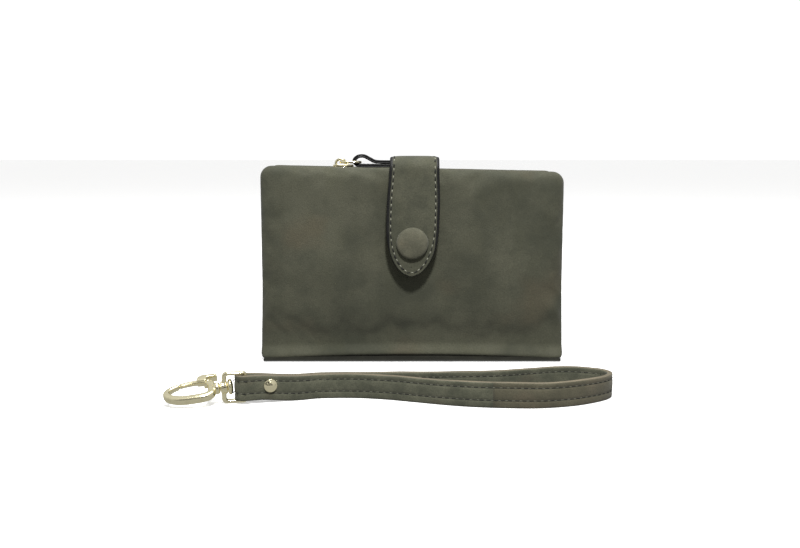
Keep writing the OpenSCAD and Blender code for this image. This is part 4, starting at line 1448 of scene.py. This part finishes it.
RING_L, RING_INNER_H, RING_SIDE_T = 8.0, 10.0, 1.3
RING_Z = RING_INNER_H / 2 + RING_SIDE_T + 0.1
AT_RING = Matrix.Translation((*RING_BAR, RING_Z)) @ Matrix.Rotation(math.radians(10), 4, "Z")
HOOK_SLOPE, HOOK_ROLL = math.radians(-6), math.radians(20)
AT_BOSS = AT_RING @ Matrix.Translation((-RING_L, 0, 0)) @ Matrix.Rotation(HOOK_SLOPE, 4, "Y")
AT_HOOK = AT_BOSS @ Matrix.Rotation(HOOK_ROLL, 4, "X")
ALONG_X = Matrix.Rotation(math.pi / 2, 4, "Y")


def clasp_ring():
    """A cast rectangular ring: two sides, a round bar for the strap and a barrel for the swivel."""
    half_h = RING_INNER_H / 2 + RING_SIDE_T / 2
    stand = Matrix.Rotation(math.pi / 2, 4, "X")
    corners = rounded([(0.2, -half_h), (0.2, half_h), (-RING_L, half_h), (-RING_L, -half_h)],
                      [0.9, 0.9, 1.6, 1.6], 6)
    fine = []
    for a, b in zip(corners, corners[1:] + corners[:1]):
        a, b = np.array(a), np.array(b)
        steps = max(1, int(np.linalg.norm(b - a) / 1.2))
        fine += [a + (b - a) * k / steps for k in range(steps)]
    sizes = []
    for p in fine:
        bar = smooth_step((p[0] + 1.1) / 1.2)
        end = smooth_step((-p[0] - RING_L + 1.6) / 1.4)
        sizes.append((1.45 + 0.3 * bar + 0.5 * end, 2.6 - 0.8 * bar))
    body = sweep("clasp_ring_frame", fine, sizes, GOLD, AT_RING @ stand, closed=True, sides=18, power=3.2)
    barrel = lathe("clasp_ring_barrel", [(1.2, -1.35), (2.2, -1.35), (2.55, -1.1), (2.62, -0.7),
                                         (2.45, -0.3), (2.42, 0.3), (2.62, 0.7), (2.55, 1.1),
                                         (2.2, 1.35), (1.2, 1.35)], AT_BOSS @ ALONG_X, GOLD)
    settle(body, "clasp_ring")
    settle(barrel, body="ring")


clasp_ring()

swivel = lathe("swivel_bead", [(1.1, -1.6), (1.1, 1.45), (2.3, 1.5), (3.0, 1.85), (3.25, 2.4), (3.05, 2.95),
                               (2.4, 3.35), (1.4, 3.6), (0.5, 3.66), (0, 3.66)], AT_HOOK @ ALONG_X, GOLD)
settle(swivel, "swivel_post")


def hook():
    """The oval snap hook: a collar, a bar that swells and thins round the eye, and its nose."""
    collar = lathe("hook_collar", [(0, -4.6), (1.7, -4.5), (2.1, -4.0), (2.35, -3.3), (2.35, -2.4),
                                   (2.1, -1.85), (1.7, -1.6), (0, -1.55)], AT_HOOK @ ALONG_X, GOLD)
    cx, a, b = -13.75, 8.95, 5.2
    nose_deg, gap_deg = 42, -243
    path, sizes = [], []
    for deg in np.arange(nose_deg, gap_deg, -5.0):
        t = math.radians(deg)
        c, s = math.cos(t), math.sin(t)
        square = 0.55 if c > 0 else 1.0
        path.append((cx + a * math.copysign(abs(c) ** square, c), b * math.copysign(abs(s) ** square, s)))
        turn = (nose_deg - deg) / (nose_deg - gap_deg)
        near = max(0, -s)
        wide = 2.75 + 0.55 * near + 0.5 * max(0, c) ** 2
        high = 3.1 + 0.3 * near
        taper_off = 1 - 0.25 * smooth_step((turn - 0.72) / 0.28)
        sizes.append((wide * taper_off, high * taper_off))
    bar = sweep("hook_oval", path, sizes, GOLD, AT_HOOK, sides=28, power=3.0, round_ends=(0.8, 1.0))
    settle(bar, "hook_body")
    settle(collar, body="hook")


hook()


def gate():
    """The sprung gate: a bar from its pin to the hook's nose, with a ridged thumb lever."""
    px, py = -6.2, 4.9
    path = smooth_path([(px + 0.6, py - 0.3), (px - 1.4, py + 0.55), (px - 4.2, py + 0.95),
                        (px - 7.2, py + 0.85), (px - 11.0, py + 0.15)], 5)
    sizes = [(2.4 - 0.5 * i / (len(path) - 1), 2.3 - 0.4 * i / (len(path) - 1)) for i in range(len(path))]
    bar = sweep("hook_gate_bar", path, sizes, GOLD, AT_HOOK, sides=18, power=3.0, round_ends=(0.7, 0.6))
    lever = rounded([(-10.8, 5.2), (-10.4, 8.3), (-8.6, 9.2), (-2.9, 9.0), (-2.4, 7.5), (-6.4, 7.3),
                     (-6.9, 4.7)],
                    [0.6, 1.0, 1.2, 0.8, 0.4, 0.5, 0.6])
    thumb = plate("hook_gate_lever", lever, -1.6, 1.6, 0.4, GOLD, AT_HOOK)
    settle(bar, "hook_gate")
    settle(thumb, body="gate")


gate()
beveled("gate_pin", "gate_pin_turned", 0.12, GOLD)
beveled("gate_spring", "gate_spring_leaf", 0.04, GOLD)


# ---------------------------------------------------------------- remaining CAD nodes


window = frame["nodes"]["id_window_film"].data
window.materials.clear()
window.materials.append(FILM)


# ---------------------------------------------------------------- floor, light and camera


def floor():
    """A pale ground that shades nothing above it and stays out of the metal's reflections."""
    s = Shader("pale_floor", roughness=0.7, specular=0.1)
    s.colour(s.blend(s.noise(60.0, 2.0), (0.86, 0.86, 0.85), (0.89, 0.89, 0.885)))
    s.set("Emission Color", (1, 1, 1, 1))
    s.set("Emission Strength", 0.4)
    size, z = 12000.0, -0.12
    verts = [(-size, -size, z), (size, -size, z), (size, size, z), (-size, size, z)]
    obj = piece("floor", verts, [(0, 1, 2, 3)], s.material, smooth=False)
    obj.visible_diffuse = obj.visible_glossy = False


ZENITH = 1.5
BELOW = 0.62
LIT_BY_WORLD = 0.68


def world():
    """White behind the object; as a light, brighter overhead and dim below the horizon."""
    made = bpy.data.worlds.new("studio")
    bpy.context.scene.world = made
    made.use_nodes = True
    tree = made.node_tree
    tree.nodes.clear()
    out = tree.nodes.new("ShaderNodeOutputWorld")
    back = tree.nodes.new("ShaderNodeBackground")
    place = tree.nodes.new("ShaderNodeTexCoord")
    split = tree.nodes.new("ShaderNodeSeparateXYZ")
    ramp = tree.nodes.new("ShaderNodeValToRGB")
    lift = tree.nodes.new("ShaderNodeMath")
    lift.operation = "MULTIPLY_ADD"
    lift.inputs[1].default_value = 0.5
    lift.inputs[2].default_value = 0.5
    tree.links.new(place.outputs["Generated"], split.inputs[0])
    tree.links.new(split.outputs["Z"], lift.inputs[0])
    tree.links.new(lift.outputs[0], ramp.inputs[0])
    tree.links.new(ramp.outputs[0], back.inputs["Color"])
    tree.links.new(back.outputs[0], out.inputs["Surface"])
    horizon = 1 / ZENITH
    stops = ramp.color_ramp.elements
    stops[0].position, stops[0].color = 0.32, (BELOW, BELOW, BELOW, 1)
    stops[1].position, stops[1].color = 0.46, (horizon, horizon, horizon, 1)
    top = stops.new(1.0)
    top.color = (1, 1, 1, 1)
    path = tree.nodes.new("ShaderNodeLightPath")
    seen = tree.nodes.new("ShaderNodeMapRange")
    seen.inputs["To Min"].default_value = LIT_BY_WORLD
    seen.inputs["To Max"].default_value = ZENITH
    tree.links.new(path.outputs["Is Camera Ray"], seen.inputs["Value"])
    tree.links.new(seen.outputs["Result"], back.inputs["Strength"])


def area_light(name, place, aim, size, power):
    data = bpy.data.lights.new(name, "AREA")
    data.shape = "DISK"
    data.size = size
    data.energy = power
    obj = bpy.data.objects.new(name, data)
    bpy.context.scene.collection.objects.link(obj)
    obj.location = place
    obj.rotation_euler = (Vector(aim) - Vector(place)).to_track_quat("-Z", "Y").to_euler()


def dark_card(name, low, high, y):
    """A dark screen in front of the object, seen only in its metal's reflections."""
    s = Shader("dark_card", roughness=0.9, specular=0.0)
    s.colour(s.blend(s.noise(200.0, 2.0), (0.01, 0.01, 0.01), (0.02, 0.02, 0.02)))
    verts = [(low[0], y, low[1]), (high[0], y, low[1]), (high[0], y, high[1]), (low[0], y, high[1])]
    obj = piece(name, verts, [(0, 1, 2, 3)], s.material, smooth=False)
    obj.visible_camera = obj.visible_diffuse = obj.visible_shadow = obj.visible_transmission = False


LENS = 42.57
CAMERA_AT = (-0.0058, -0.4655, 0.100)
LOOKS_DOWN = math.radians(7.33)


def camera():
    data = bpy.data.cameras.new("camera")
    data.sensor_width = 36
    data.lens = LENS
    obj = bpy.data.objects.new("camera", data)
    bpy.context.scene.collection.objects.link(obj)
    obj.location = CAMERA_AT
    obj.rotation_euler = (math.pi / 2 - LOOKS_DOWN, 0, 0)
    bpy.context.scene.camera = obj


floor()
world()
area_light("key", (0.035, -0.40, 0.56), (0, -0.02, 0.05), 0.075, 5.8)
area_light("top", (0, 0.12, 1.3), (0, -0.02, 0.05), 0.6, 8)
dark_card("card_low", (-520, 20), (520, 190), -650)
dark_card("card_high", (-420, 420), (420, 820), -800)
camera()
bpy.context.scene.view_settings.view_transform = "Standard"
